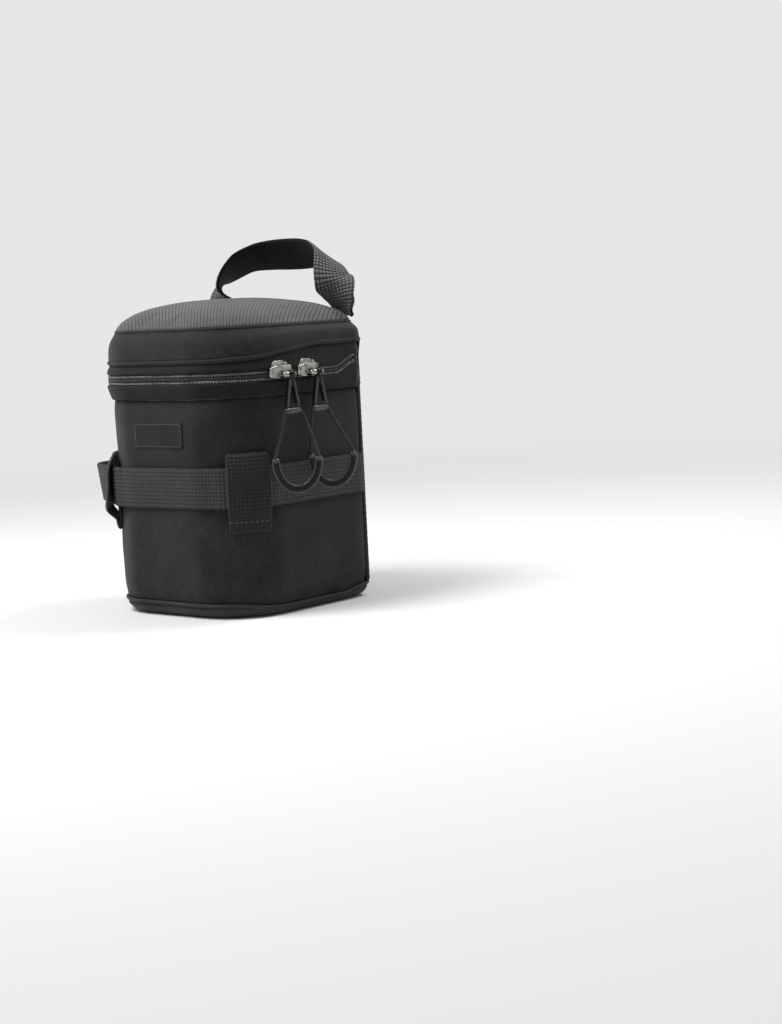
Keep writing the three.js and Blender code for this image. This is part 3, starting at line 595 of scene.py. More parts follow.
class MaterialWriter(TreeWriter):
    """Short ways to write one material's nodes."""

    def __init__(self, name: str) -> None:
        """Starts a material with one plain shader."""
        self.material = bpy.data.materials.new(name)
        self.material.use_nodes = True
        super().__init__(self.material.node_tree)
        self.shader = self.tree.nodes["Principled BSDF"]

    def set(self, **values: float | Sequence[float]) -> None:
        """Sets constants on the shader's own sockets."""
        for label, value in values.items():
            self.shader.inputs[label.replace("_", " ")].default_value = value

    def product(self, first: bpy.types.NodeSocket, *others: bpy.types.NodeSocket
                ) -> bpy.types.NodeSocket:
        """All the values multiplied with each other."""
        for other in others:
            first = self.math("MULTIPLY", first, other)
        return first

    def pattern(self) -> Sequence[bpy.types.NodeSocket]:
        """Places across and along the piece, in metres."""
        where = self.add("ShaderNodeUVMap", uv_map=PATTERN)
        return self.add("ShaderNodeSeparateXYZ", {0: where[0]})[:2]

    def wave(self, place: bpy.types.NodeSocket, pitch: float, lift: float = 0.5
             ) -> bpy.types.NodeSocket:
        """A row of pillows from 0 to 1, one for each pitch; lift under 1 makes them fuller."""
        turn = self.math("MULTIPLY", place, math.pi / pitch)
        return self.math("POWER", self.math("ABSOLUTE", self.math("SINE", turn)), lift)

    def cloud(self, size: float, detail: float = 2.0) -> bpy.types.NodeSocket:
        """Even noise from 0 to 1 in the piece's own space, with bumps of that size."""
        where = self.add("ShaderNodeTexCoord")["Object"]
        return self.add("ShaderNodeTexNoise", {"Vector": where, "Scale": 1 / size,
                                               "Detail": detail})["Fac"]

    def spread(self, value: bpy.types.NodeSocket, low: float, high: float, start: float = 0.3,
               end: float = 0.7) -> bpy.types.NodeSocket:
        """Carries a value between start and end to low and high, eased and held outside."""
        return self.add("ShaderNodeMapRange", {"Value": value, "From Min": start, "From Max": end,
                                               "To Min": low, "To Max": high},
                        interpolation_type="SMOOTHSTEP")["Result"]

    def about(self, value: bpy.types.NodeSocket, middle: float, reach: float
              ) -> bpy.types.NodeSocket:
        """Carries noise to values about a middle one."""
        return self.spread(value, middle - reach, middle + reach)

    def tint(self, colour: Colour, strength: bpy.types.NodeSocket) -> bpy.types.NodeSocket:
        """A colour made lighter or darker by a strength."""
        return self.add("ShaderNodeVectorMath", {0: colour, "Scale": strength},
                        operation="SCALE")[0]

    def bump(self, height: bpy.types.NodeSocket, depth: float,
             under: bpy.types.NodeSocket | None = None) -> bpy.types.NodeSocket:
        """A relief of the given depth, over another where one is given."""
        lower = {} if under is None else {"Normal": under}
        return self.add("ShaderNodeBump", {"Distance": depth, "Height": height, **lower})[0]

    def finish(self, colour: object = None, roughness: object = None, normal: object = None
               ) -> bpy.types.Material:
        """Links what is given to the shader and hands the material over."""
        given = {"Base Color": colour, "Roughness": roughness, "Normal": normal}
        for label, value in given.items():
            if value is not None:
                self.plug(self.shader.inputs[label], value)
        return self.material


@dataclass(frozen=True)
class ClothFinish:
    """Woven cloth: fine yarns, uneven threads and cloudy wear."""

    name: str
    colour: Colour
    yarn: float = 0.55 * MM
    depth: float = 0.06 * MM
    grain: float = 0.3
    cloud: float = 0.32
    roughness: float = 0.78
    sheen: float = 0.08
    slub: float = 0.9 * MM
    slub_depth: float = 0.10 * MM
    patch: float = 24 * MM

    def make(self) -> bpy.types.Material:
        """Builds the material."""
        w = MaterialWriter(self.name)
        across, along = w.pattern()
        yarns = w.product(w.wave(across, self.yarn), w.wave(along, self.yarn))
        slubs, clouds = w.cloud(self.slub, 3), w.cloud(self.patch, 3)
        # Painted shade in the gaps between yarns and a little painted highlight on their crossings;
        # slubs and clouds are the cloth's own uneven tone.
        light = w.product(w.about(slubs, 1, self.grain), w.about(clouds, 1, self.cloud),
                          w.spread(yarns, 0.8, 1.12, 0, 1))
        w.set(Sheen_Weight=self.sheen, Sheen_Roughness=0.5, IOR=1.46, Specular_IOR_Level=0.16)
        return w.finish(w.tint(self.colour, light), w.about(clouds, self.roughness, 0.05),
                        w.bump(yarns, self.depth, w.bump(slubs, self.slub_depth)))


@dataclass(frozen=True)
class WebbingFinish:
    """Ribbed webbing: pillows in rows along and across the strap."""

    name: str
    colour: Colour
    pitch: float = 1.85 * MM
    row: float = 1.85 * MM
    row_lift: float = 0.51
    depth: float = 0.28 * MM
    groove_shade: float = 0.18
    roughness: float = 0.62
    patch: float = 18 * MM

    def make(self) -> bpy.types.Material:
        """Builds the material."""
        w = MaterialWriter(self.name)
        across, along = w.pattern()
        pillows = w.product(w.wave(across, self.row), w.wave(along, self.pitch, self.row_lift))
        grain, clouds = w.cloud(0.8 * MM), w.cloud(self.patch)
        # Painted shade in the grooves between pillows and a little painted highlight on the
        # pillows' tops; grain and clouds are the webbing's own uneven tone.
        light = w.product(w.spread(pillows, self.groove_shade, 1.12, 0.1, 0.95), w.about(grain, 1, 0.2),
                          w.about(clouds, 1, 0.1))
        w.set(Sheen_Weight=0.06, IOR=1.5, Specular_IOR_Level=0.22)
        return w.finish(w.tint(self.colour, light), w.about(grain, self.roughness, 0.06),
                        w.bump(grain, 0.05 * MM, w.bump(pillows, self.depth)))


@dataclass(frozen=True)
class PlainFinish:
    """Thread, plastic, foam or enamel: one colour, a little grain and uneven gloss."""

    name: str
    colour: Colour
    roughness: float
    grain_size: float = 0.4 * MM
    grain_depth: float = 0.02 * MM
    uneven: float = 0.08
    shade: float = 0.1
    specular: float = 0.5
    coat: float = 0.0
    sheen: float = 0.0
    patch: float = 9 * MM

    def make(self) -> bpy.types.Material:
        """Builds the material."""
        w = MaterialWriter(self.name)
        grain, clouds = w.cloud(self.grain_size), w.cloud(self.patch, 3)
        w.set(IOR=1.5, Specular_IOR_Level=self.specular, Coat_Weight=self.coat,
              Coat_Roughness=0.12, Sheen_Weight=self.sheen)
        return w.finish(w.tint(self.colour, w.about(clouds, 1, self.shade)),
                        w.about(clouds, self.roughness, self.uneven),
                        w.bump(grain, self.grain_depth))


@dataclass(frozen=True)
class MetalFinish:
    """Bright plated metal with faint wear."""

    name: str
    colour: Colour = (0.33, 0.33, 0.30)
    roughness: float = 0.24

    def make(self) -> bpy.types.Material:
        """Builds the material."""
        w = MaterialWriter(self.name)
        fine, clouds = w.cloud(0.5 * MM), w.cloud(2.5 * MM, 3)
        w.set(Metallic=1.0)
        return w.finish(w.tint(self.colour, w.spread(clouds, 0.45, 1.2)),
                        w.spread(clouds, self.roughness - 0.08, self.roughness + 0.14),
                        w.bump(fine, 0.012 * MM))


@dataclass(frozen=True)
class RibbedFinish:
    """Cloth with raised ribs, whose grooves keep their shade."""

    name: str
    colour: Colour
    roughness: float = 0.72
    groove_shade: float = 0.12
    depth: float = 0.2 * MM

    def make(self) -> bpy.types.Material:
        """Builds the material; the piece's own attribute tells ribs from grooves."""
        w = MaterialWriter(self.name)
        count = w.add("ShaderNodeAttribute", attribute_name=RIBS)["Fac"]
        ribs = w.wave(count, 1.0, 0.7)
        grain, clouds = w.cloud(1.1 * MM, 3), w.cloud(22 * MM, 3)
        # Painted shade in the grooves and painted highlight on the rib tops; grain and clouds are
        # the cloth's own uneven tone.
        light = w.product(w.spread(ribs, self.groove_shade, 1.18, 0.05, 0.8),
                          w.spread(grain, 0.8, 1.22), w.about(clouds, 1, 0.12))
        w.set(Sheen_Weight=0.15, Sheen_Roughness=0.5, IOR=1.46, Specular_IOR_Level=0.3)
        return w.finish(w.tint(self.colour, light), w.about(clouds, self.roughness, 0.05),
                        w.bump(grain, 0.10 * MM, w.bump(ribs, self.depth)))


class Finishes:
    """Every material of the pouch, each made once."""

    def __init__(self) -> None:
        """Builds the materials, each under its finish's name."""
        cloth, band, plain = ClothFinish, WebbingFinish, PlainFinish
        fine = {"grain": 0.2, "depth": 0.04 * MM}
        spun = {"roughness": 0.6, "grain_size": 0.3 * MM, "grain_depth": 0.03 * MM, "sheen": 0.2}
        cast = {"grain_size": 0.5 * MM, "grain_depth": 0.02 * MM}
        made = [
            cloth("body_fabric", (0.0160, 0.0160, 0.0166)),
            RibbedFinish("lid_fabric", (0.064, 0.064, 0.065)),
            cloth("gusset", (0.0185, 0.0185, 0.0190)),
            # The base panel and its piping are lighter than the wall: painted light that makes up
            # for the shade near the floor.
            cloth("base_fabric", (0.036, 0.036, 0.037)),
            cloth("base_piping", (0.028, 0.028, 0.029), **fine),
            cloth("piping", (0.019, 0.019, 0.0195), **fine),
            band("webbing", (0.030, 0.030, 0.031)),
            # A darker copy of the band's webbing for the keepers: painted shade for loops that sit
            # further under.
            band("keeper_webbing", (0.011, 0.011, 0.0117), groove_shade=0.12, depth=0.4 * MM),
            # A lighter copy of the webbing for the handle's outer face, with deep dark grooves:
            # painted light and painted shade on the ribs.
            band("handle_webbing", (0.120, 0.120, 0.125), pitch=1.7 * MM, groove_shade=0.06,
                 depth=0.4 * MM),
            # Near-black cloth for the handle's inner face: painted shade on the side turned away
            # from the lamps.
            cloth("handle_lining", (0.0045, 0.0045, 0.005), sheen=0.02),
            plain("foam", (0.022, 0.022, 0.024), 0.95, 1.0 * MM, 0.08 * MM),
            cloth("lining", (0.10, 0.10, 0.105), yarn=0.4 * MM, grain=0.12),
            cloth("zip_tape", (0.0075, 0.0075, 0.008), yarn=0.45 * MM, grain=0.18),
            plain("zip_coil", (0.010, 0.010, 0.010), 0.28, specular=0.7),
            # Light grey stitches beside the teeth: painted highlight for the bright dots along the
            # zip's chain.
            plain("zip_thread", (0.17, 0.17, 0.175), shade=0.5, **spun),
            plain("thread", (0.055, 0.055, 0.057), **{**spun, "roughness": 0.7}),
            cloth("label", (0.013, 0.013, 0.0135), yarn=0.4 * MM, grain=0.15),
            MetalFinish("bright_metal"),
            MetalFinish("stop_metal", (0.06, 0.06, 0.058), 0.4),
            plain("snap_cap", (0.010, 0.010, 0.011), 0.22, 2 * MM, 0.01 * MM, coat=0.4),
            plain("moulded", (0.006, 0.006, 0.0065), 0.17, specular=0.18, **cast),
            # Lighter plastic for the tabs' ribs and foot and the grips' rims and collars: painted
            # highlight on their edges.
            plain("moulded_edge", (0.034, 0.034, 0.035), 0.22, **cast),
            band("cord", (0.024, 0.024, 0.025), pitch=0.9 * MM, row=0.6 * MM, depth=0.12 * MM,
                 groove_shade=0.5),
        ]
        self.made = {finish.name: finish.make() for finish in made}

    def __getitem__(self, label: str) -> bpy.types.Material:
        """The material of that name."""
        return self.made[label]


class UnitRow:
    """Geometry Nodes that set copies of a small bar along a line."""

    def __init__(self, finishes: Finishes) -> None:
        """Builds the node tree once for all rows."""
        self.finishes = finishes
        self.tree = bpy.data.node_groups.new("unit_row", "GeometryNodeTree")
        face = self.tree.interface
        kinds = {"Line": "Geometry", "Count": "Int", "Unit": "Object", "Tilt": "Float",
                 "Scatter": "Float", "Seed": "Int", "Finish": "Material"}
        self.sockets = {label: face.new_socket(label, in_out="INPUT",
                                               socket_type=f"NodeSocket{kind}")
                        for label, kind in kinds.items()}
        face.new_socket("Row", in_out="OUTPUT", socket_type="NodeSocketGeometry")
        w = TreeWriter(self.tree)
        given = w.add("NodeGroupInput")
        curve = w.add("GeometryNodeMeshToCurve", {"Mesh": given["Line"]})["Curve"]
        spread = w.add("GeometryNodeResampleCurve", {"Curve": curve, "Count": given["Count"]},
                       mode="COUNT")["Curve"]
        outward = w.add("GeometryNodeInputNamedAttribute", {"Name": OUTWARD},
                        data_type="FLOAT_VECTOR")["Attribute"]
        tangent = w.add("GeometryNodeInputTangent")["Tangent"]
        facing = w.add("FunctionNodeAxesToRotation",
                       {"Primary Axis": tangent, "Secondary Axis": outward},
                       primary_axis="X", secondary_axis="Z")["Rotation"]
        tilt = w.add("FunctionNodeAxisAngleToRotation", {"Angle": given["Tilt"]})["Rotation"]
        turn = w.add("FunctionNodeRotateRotation", {"Rotation": facing, "Rotate By": tilt},
                     rotation_space="LOCAL")["Rotation"]
        unit = w.add("GeometryNodeObjectInfo", {"Object": given["Unit"]})["Geometry"]
        low = w.math("SUBTRACT", 1.0, given["Scatter"])
        high = w.math("ADD", 1.0, given["Scatter"])
        vary = w.add("FunctionNodeRandomValue", {2: low, 3: high, "Seed": given["Seed"]})[1]
        copies = w.add("GeometryNodeInstanceOnPoints", {
            "Points": spread, "Instance": unit, "Rotation": turn, "Scale": vary})["Instances"]
        real = w.add("GeometryNodeRealizeInstances", {"Geometry": copies})["Geometry"]
        dress = w.add("GeometryNodeSetMaterial", {"Geometry": real, "Material": given["Finish"]})
        w.add("NodeGroupOutput", {"Row": dress["Geometry"]})

    def lay(self, name: str, line: np.ndarray, outward: Sequence[float], bar: Bar,
            finish: str = "thread", tilt: float = 0.0, scatter: float = 0.0,
            start: float = 0.0, seed: int = 1) -> bpy.types.Object:
        """Lays a row of bars along a line and makes it a plain mesh.

        Args:
            name: Name of the row.
            line: Points along the line.
            outward: Direction that the bars' Z axis keeps to, one for all points or one each.
            bar: The small bar, its X axis along the line.
            finish: Name of the bars' material.
            tilt: Turn of each bar about its Z axis, in radians.
            scatter: How much the bars differ in size, as a share.
            start: Distance of the first bar from the start of the line.
            seed: Seed of the differences.

        Returns:
            The row as one object.
        """
        run = run_of(line)
        count = max(int((run[-1] - start) / bar.pitch), 2)
        spots = read_at(start + bar.pitch * np.arange(count), run,
                        np.hstack([line, np.broadcast_to(outward, line.shape)]))
        made = mesh_object(name, spots[:, :3], [], edges=[(i, i + 1) for i in range(count - 1)])
        held = made.data.attributes.new(OUTWARD, "FLOAT_VECTOR", "POINT")
        held.data.foreach_set("vector", spots[:, 3:].ravel().astype(np.float32))
        unit, worn = bar.build(), self.finishes[finish]
        rule = made.modifiers.new("row", "NODES")
        rule.node_group = self.tree
        for label, value in (("Count", count), ("Unit", unit), ("Tilt", tilt),
                             ("Scatter", scatter), ("Seed", seed), ("Finish", worn)):
            rule[self.sockets[label].identifier] = value
        applied(made)
        bpy.data.objects.remove(unit)
        spare = made.data.attributes.get(OUTWARD)
        if spare:
            made.data.attributes.remove(spare)
        made.data.materials.clear()
        made.data.materials.append(worn)
        made.data.polygons.foreach_set("material_index", [0] * len(made.data.polygons))
        return made


@dataclass
class Part:
    """A sub-assembly: it builds its pieces and hands them to their bodies."""

    finishes: Finishes
    rows: UnitRow
    body: ClassVar[str] = "pouch"

    def painted(self, finish: str, *pieces: bpy.types.Object) -> list[bpy.types.Object]:
        """Gives pieces one material and hands them back."""
        for piece in pieces:
            piece.data.materials.clear()
            piece.data.materials.append(self.finishes[finish])
        return list(pieces)

    def dress(self, piece: bpy.types.Object, finish: str, slot: str, nodes: Sequence[str] = (),
              body: str | None = None, fill: float | None = None) -> None:
        """Gives a finished piece its material and body, and hides the solids that it stands for.

        Args:
            piece: The piece, in its final place and form.
            finish: Name of its material; empty keeps what it has.
            slot: The record's material slot; not used.
            nodes: Solids that the piece stands for.
            body: The body that it moves with; the part's own without it.
            fill: How full a padded piece is, or nothing where it isn't padded; not used.
        """
        if finish:
            self.painted(finish, piece)
        if nodes:
            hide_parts(*nodes)
        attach(piece, body or self.body)
        LOG.info("%s on %s, %d faces", piece.name, body or self.body, len(piece.data.polygons))


def chain_height(place: np.ndarray) -> np.ndarray:
    """Height of the zip's chain along the outline, higher at its rear ends."""
    return 114.5 * MM + 5 * MM * smooth(22.05 * MM, 37 * MM, OUTLINE.at(place)[0][..., 1])


def lid_seam(place: np.ndarray) -> np.ndarray:
    """Height of the lid's lower seam along the outline."""
    rise = smooth(-49 * MM, 18.5 * MM, OUTLINE.at(place)[0][..., 1])
    return 122.5 * MM + 6 * MM * rise


def base_seam(place: np.ndarray) -> np.ndarray:
    """Height of the base seam, which sags at the right side."""
    place = np.asarray(place, float)
    return 6.5 * MM - 2.6 * MM * smooth(34 * MM, 68 * MM, place) * (
        1 - smooth(108 * MM, 126 * MM, place))


@dataclass
class Body(Part):
    """The padded tub: wall, back, base, foams, linings and label."""

    simulation: Simulation
    thickness: float = 1.2 * MM
    top: float = 105.1 * MM
    panel_top: float = 115.5 * MM
    seam_top: float = 114.6 * MM
    spacing: float = 1.15 * MM
    seam_gap: float = 1.2 * MM
    hem: float = 0.6 * MM
    binding: float = 2.1 * MM
    belly: float = 33 * MM
    chest: float = 90 * MM
    foam: float = 5 * MM
    lining: float = 0.8 * MM
    base_rim: float = 0.86
    base_inset: float = 7 * MM
    base_foam: float = 4.4 * MM
    label_half: float = 16.5 * MM
    label_low: float = 81.5 * MM
    label_high: float = 94.5 * MM
    label_margin: float = 1.2 * MM
    label_out: float = 0.6 * MM

    def bulge(self, place: np.ndarray, height: np.ndarray) -> np.ndarray:
        """How far the padded wall stands off its outline.

        Args:
            place: Arc lengths on the outline.
            height: Heights on the wall.

        Returns:
            Distances outwards: drawn in at its ends and by the band, swollen between them.
        """
        drawn = -1.2 * MM * (1 - smooth(5 * MM, 15 * MM, height)) \
            - 0.5 * MM * smooth(99 * MM, self.top, height)
        squeezed = -0.5 * MM * smooth(48 * MM, 55 * MM, height) * (
            1 - smooth(71 * MM, 79 * MM, height))
        swell = 0.8 * MM * np.exp(-((height - self.belly) / (17 * MM)) ** 2) \
            + 0.4 * MM * np.exp(-((height - self.chest) / (10 * MM)) ** 2)
        soft = 0.35 * MM * ripple(place, height, 30 * MM, 3.1) \
            + 0.12 * MM * ripple(place, height, 9 * MM, 8.4)
        gather = 0.22 * MM * ripple(place, height * 0.3, 6 * MM, 5.7) * (
            1 - smooth(8 * MM, 22 * MM, height))
        ends = smooth(0, 14 * MM, OUTLINE.seam - np.abs(place))
        return drawn + (squeezed + swell + soft + gather) * ends

    def wall(self) -> None:
        """The wall round the front and both sides, pressed out by its foam."""
        reach = OUTLINE.seam - self.seam_gap
        place = np.linspace(-reach, reach, round(2 * reach / self.spacing))[:, None]
        low = base_seam(place) + self.hem
        height = low + (self.top - low) * np.linspace(0, 1, 84)[None]
        pressed = self.simulation.press(OUTLINE.surface(place, height, 0), 38, 16, 1.2, 0.012)
        middle = OUTLINE.surface(place, height, self.bulge(place, height) - self.thickness / 2)
        self.dress(shell("outer_wall_cloth", middle + pressed, self.thickness), "body_fabric",
                   "body_fabric", ["outer_wall"], fill=0.8)

    def back(self) -> None:
        """The flat rear panel, which wraps both rear corners."""
        reach = OUTLINE.half - OUTLINE.seam - self.seam_gap
        place = OUTLINE.half + np.linspace(-reach, reach, 100)[:, None]
        low = base_seam(place) + self.hem
        height = low + (self.panel_top - low) * np.linspace(0, 1, 90)[None]
        out = 0.25 * MM * ripple(place, height, 26 * MM, 11.2) - 0.25 * MM - self.thickness / 2 \
            - 0.8 * MM * (1 - smooth(5 * MM, 14 * MM, height))
        self.dress(shell("back_panel_cloth", OUTLINE.surface(place, height, out), self.thickness),
                   "body_fabric", "body_fabric", ["back_panel"])

    def seams(self) -> None:
        """The bound seams at the rear corners, each with a row of stitches."""
        for side, sign in SIDES:
            place = sign * OUTLINE.seam
            height = np.linspace(float(base_seam(place)) + self.seam_gap, self.seam_top, 98)
            width = np.linspace(-self.binding, self.binding, 13)[None]
            curved = np.sqrt(np.clip(1 - (width / (self.binding + 0.1 * MM)) ** 2, 0, 1))
            soft = 0.06 * MM * ripple(height[:, None], width, 5 * MM, 2.0)
            grid = OUTLINE.surface(place - width, height[:, None],
                                   -0.5 * MM + 1.2 * MM * curved + soft)
            band = shell("seam_band", grid, 0.6 * MM)
            threads = self.rows.lay("seam_thread", *OUTLINE.row(
                np.full_like(height, place + 0.1 * MM), height, 0.98 * MM), STITCH,
                start=2 * MM, seed=4 + sign)
            self.dress(joined(f"back_seam_{side}_binding", [*self.painted("piping", band),
                                                            threads]), "", "piping",
                       [f"back_seam_{side}"])

    def base(self) -> None:
        """The shallow dish underneath and the piped seam round it."""
        curve = curve_through([(0, 1), (0.12, 0.6), (0.43, 0.22), (1, 0)], 60)

        def form(share: np.ndarray, place: np.ndarray) -> np.ndarray:
            """Points of the dish."""
            inset = np.clip((1 - share) / (1 - self.base_rim), 0, 1)
            point, normal = OUTLINE.at(place)
            edge = point - normal * (inset * self.base_inset + 0.7 * MM)[..., None]
            inner = np.minimum(share / self.base_rim, 1)[..., None]
            drop = (base_seam(place) - 0.6 * MM) * np.interp(inset, curve[:, 0], curve[:, 1])
            return np.concatenate([edge * inner, drop[..., None] + self.thickness / 2], -1)

        # The dish wears the lighter cloth, painted light against the shade near the floor.
        self.dress(shell("base_panel_cloth", disc(form, 130)[:, ::-1], self.thickness),
                   "base_fabric", "body_fabric", ["base_panel"])
        around = OUTLINE.around(1.5 * MM)
        soft = 0.18 * MM * ripple(around, 0 * around, 11 * MM, 4.4)
        line = OUTLINE.surface(around, base_seam(around) + 0.1 * MM, -0.55 * MM + soft)
        # The piping's cloth is painted lighter as well, painted light.
        self.dress(tube("base_piping_cord", line, 0.9 * MM, 10, closed=True), "base_piping",
                   "piping", ["base_piping"])

    def layer(self, inset: float, height: float, soft: float, count: int) -> np.ndarray:
        """A level sheet inside the walls.

        Args:
            inset: How far its edge lies inside the outline.
            height: Height of its middle.
            soft: How uneven it is.
            count: Points on each side of its grid.

        Returns:
            The grid of points.
        """
        return disc(lambda share, place: np.concatenate([
            OUTLINE.at(place)[0] * (share * (1 - inset / OUTLINE.half_width))[..., None],
            (height + soft * ripple(share * 0.05, place, 20 * MM, 1.0))[..., None]], -1), count)

    def inside(self) -> None:
        """Foams and linings, the wall's lining rolled over its foam."""
        foam = OUTLINE.surface(
            OUTLINE.around(3 * MM)[:, None], np.linspace(9 * MM, self.top - 1 * MM, 24)[None],
            -self.thickness - 0.1 * MM - self.foam / 2)
        self.dress(shell("wall_foam_pad", foam, self.foam, closed=True), "foam", "foam",
                   ["wall_foam"], fill=0.95)
        section = curve_through([(-0.9 * MM, 104.4 * MM), (-1.6 * MM, 106.3 * MM),
                                 (-3.8 * MM, 107.0 * MM), (-6.2 * MM, 106.2 * MM),
                                 (-6.9 * MM, 103.5 * MM), (-6.9 * MM, 90 * MM),
                                 (-6.9 * MM, 8.2 * MM)], 200)
        out, height = read_at(np.linspace(0, 1, 80), np.linspace(0, 1, 200), section).T
        place, share = OUTLINE.around(1.6 * MM)[:, None], np.linspace(0, 1, 80)[None]
        soft = 0.25 * MM * ripple(place, share * 0.1, 24 * MM, 6.0) * smooth(0.1, 0.3, share)
        lining = OUTLINE.surface(place, height, out + soft)[:, ::-1]
        self.dress(shell("wall_lining_cloth", lining, self.lining, closed=True), "lining", "lining",
                   ["wall_lining"], fill=0.8)
        floor = self.layer(7.2 * MM, 8.0 * MM, 0.2 * MM, 60)
        self.dress(shell("base_lining_cloth", floor, self.lining), "lining", "lining",
                   ["base_lining"])
        pad = self.layer(2.4 * MM, 4.4 * MM, 0, 40)
        self.dress(shell("base_foam_pad", pad, self.base_foam), "foam", "foam", ["base_foam"],
                   fill=0.95)

    def label(self) -> None:
        """The plain label, stitched on near its edge."""
        x = np.linspace(-self.label_half, self.label_half, 48)[:, None]
        z = np.linspace(self.label_low, self.label_high, 22)[None]
        plate = shell("label_plate", OUTLINE.surface(x, z, self.bulge(x, z) + self.label_out),
                      0.6 * MM)
        side, low, high = (self.label_half - self.label_margin, self.label_low
                           + self.label_margin, self.label_high - self.label_margin)
        ring = np.array([(-side, low), (side, low), (side, high), (-side, high), (-side, low)])
        x, z = resample(ring, 120).T
        threads = self.rows.lay("label_thread", OUTLINE.surface(
            x, z, self.bulge(x, z) + self.label_out + 0.35 * MM),
            (0, -1, 0), Bar(1.4 * MM, 0.35 * MM, 0.3 * MM, 2.1 * MM),
            start=0.4 * MM, seed=9)
        self.dress(joined("front_label_patch", [*self.painted("label", plate), threads]), "",
                   "label", ["front_label"])

    def build(self) -> None:
        """Builds the whole tub."""
        self.wall()
        self.back()
        self.seams()
        self.base()
        self.inside()
        self.label()


@dataclass
class Zip(Part):
    """The zip round the front: two lips of tape, the teeth between them and the stops."""

    reach: float = 126 * MM
    end_gap: float = 4 * MM
    sewn: float = 127.3 * MM
    tape: float = 0.8 * MM
    lip_gap: float = 3.4 * MM
    thread_rise: float = 1.75 * MM
    thread_out: float = 1.95 * MM
    teeth_rise: float = 0.45 * MM
    teeth_out: float = 1.8 * MM
    core_rise: float = 1.55 * MM
    core_out: float = 1.35 * MM
    tooth: Bar = Bar(1.9 * MM, 0.62 * MM, 0.9 * MM, 1.25 * MM)
    stitch: Bar = Bar(0.85 * MM, 0.75 * MM, 0.6 * MM, 1.4 * MM)

    def lip(self, side: str) -> bpy.types.Object:
        """One tape: from its seam out to a folded lip, then in behind the teeth.

        Args:
            side: Whether it is the lower or the upper tape.

        Returns:
            The tape's mesh.
        """
        place = np.linspace(-self.sewn, self.sewn, 252)[:, None]
        lower = side == "lower"
        # millimetres out, share of the way from the seam to the lip, and on behind the teeth
        knots = [(0.1, 0, 0), (0.9, 0.22, 0), (1.7, 0.6, 0), (2.25, 0.9, 0), (2.35, 1.04, 0),
                 (1.7, 1.06, 0.1), (1.1, 1, 0.4), (0.8, 1, 0.98)]
        out, rise, behind = read_at(np.linspace(0, 1, 46), np.linspace(0, 1, 160),
                                    curve_through(knots, 160)).T
        seam = 104.9 * MM if lower else lid_seam(place) - 0.6 * MM
        gap = -self.lip_gap if lower else self.lip_gap
        height = seam + (chain_height(place) + gap - seam) * rise - gap * behind
        soft = 0.14 * MM * ripple(place, height, 7 * MM, 2.2 if lower else 6.6)
        ends = smooth(0, 5 * MM, self.sewn - np.abs(place))
        grid = OUTLINE.surface(place, height, (out * MM + soft) * (0.4 + 0.6 * ends))
        return shell("zip_tape_cloth", grid if lower else grid[:, ::-1], self.tape)

    def beside(self, count: int, rise: float, out: float) -> tuple[np.ndarray, np.ndarray]:
        """A line beside the chain's middle, and the outward direction along it."""
        places = np.linspace(self.end_gap - self.reach, self.reach - self.end_gap, count)
        return OUTLINE.row(places, chain_height(places) + rise, out)

    def threads(self, sign: int) -> bpy.types.Object:
        """The row of stitches beside the teeth, painted light grey as a highlight along the chain.
        """
        line = self.beside(300, sign * self.thread_rise, self.thread_out)
        return self.rows.lay("zip_thread", *line, self.stitch, "zip_thread", scatter=0.25,
                             seed=3)

    def teeth(self, side: str, sign: int) -> bpy.types.Object:
        """Half of the teeth, each a bar that reaches over the chain's middle."""
        row = self.rows.lay("zip_teeth", *self.beside(400, sign * self.teeth_rise,
                                                              self.teeth_out),
                            self.tooth, "zip_coil", tilt=math.pi / 2,
                            start=0 if sign < 0 else self.tooth.pitch / 2, seed=5)
        core = tube("zip_core", self.beside(400, sign * self.core_rise,
                                                    self.core_out)[0], 0.75 * MM, 8)
        return joined(f"{side}_zip_coil_teeth", [row, *self.painted("zip_coil", core)])

    def stops(self) -> None:
        """The small metal stop at each end of the teeth."""
        for side, sign in SIDES:
            place = np.linspace(self.reach - 2.6 * MM, self.reach - 0.9 * MM, 5) * sign
            line = OUTLINE.surface(place, chain_height(place), 0.6 * MM)
            self.dress(tube(f"zip_stop_{side}_clamp", line, 1.1 * MM, 12, flat=0.6),
                       "stop_metal", "bright_metal", [f"zip_stop_{side}"])

    def build(self) -> None:
        """Builds both halves of the zip."""
        for side, sign, body in (("lower", -1, "pouch"), ("upper", 1, "lid")):
            lip = self.painted("zip_tape", self.lip(side))
            self.dress(joined(f"{side}_zip_tape_lip", [*lip, self.threads(sign)]), "",
                       "zip_tape", [f"{side}_zip_tape"], body)
            self.dress(self.teeth(side, sign), "", "zip_coil", [f"{side}_zip_coil"], body)
        self.stops()


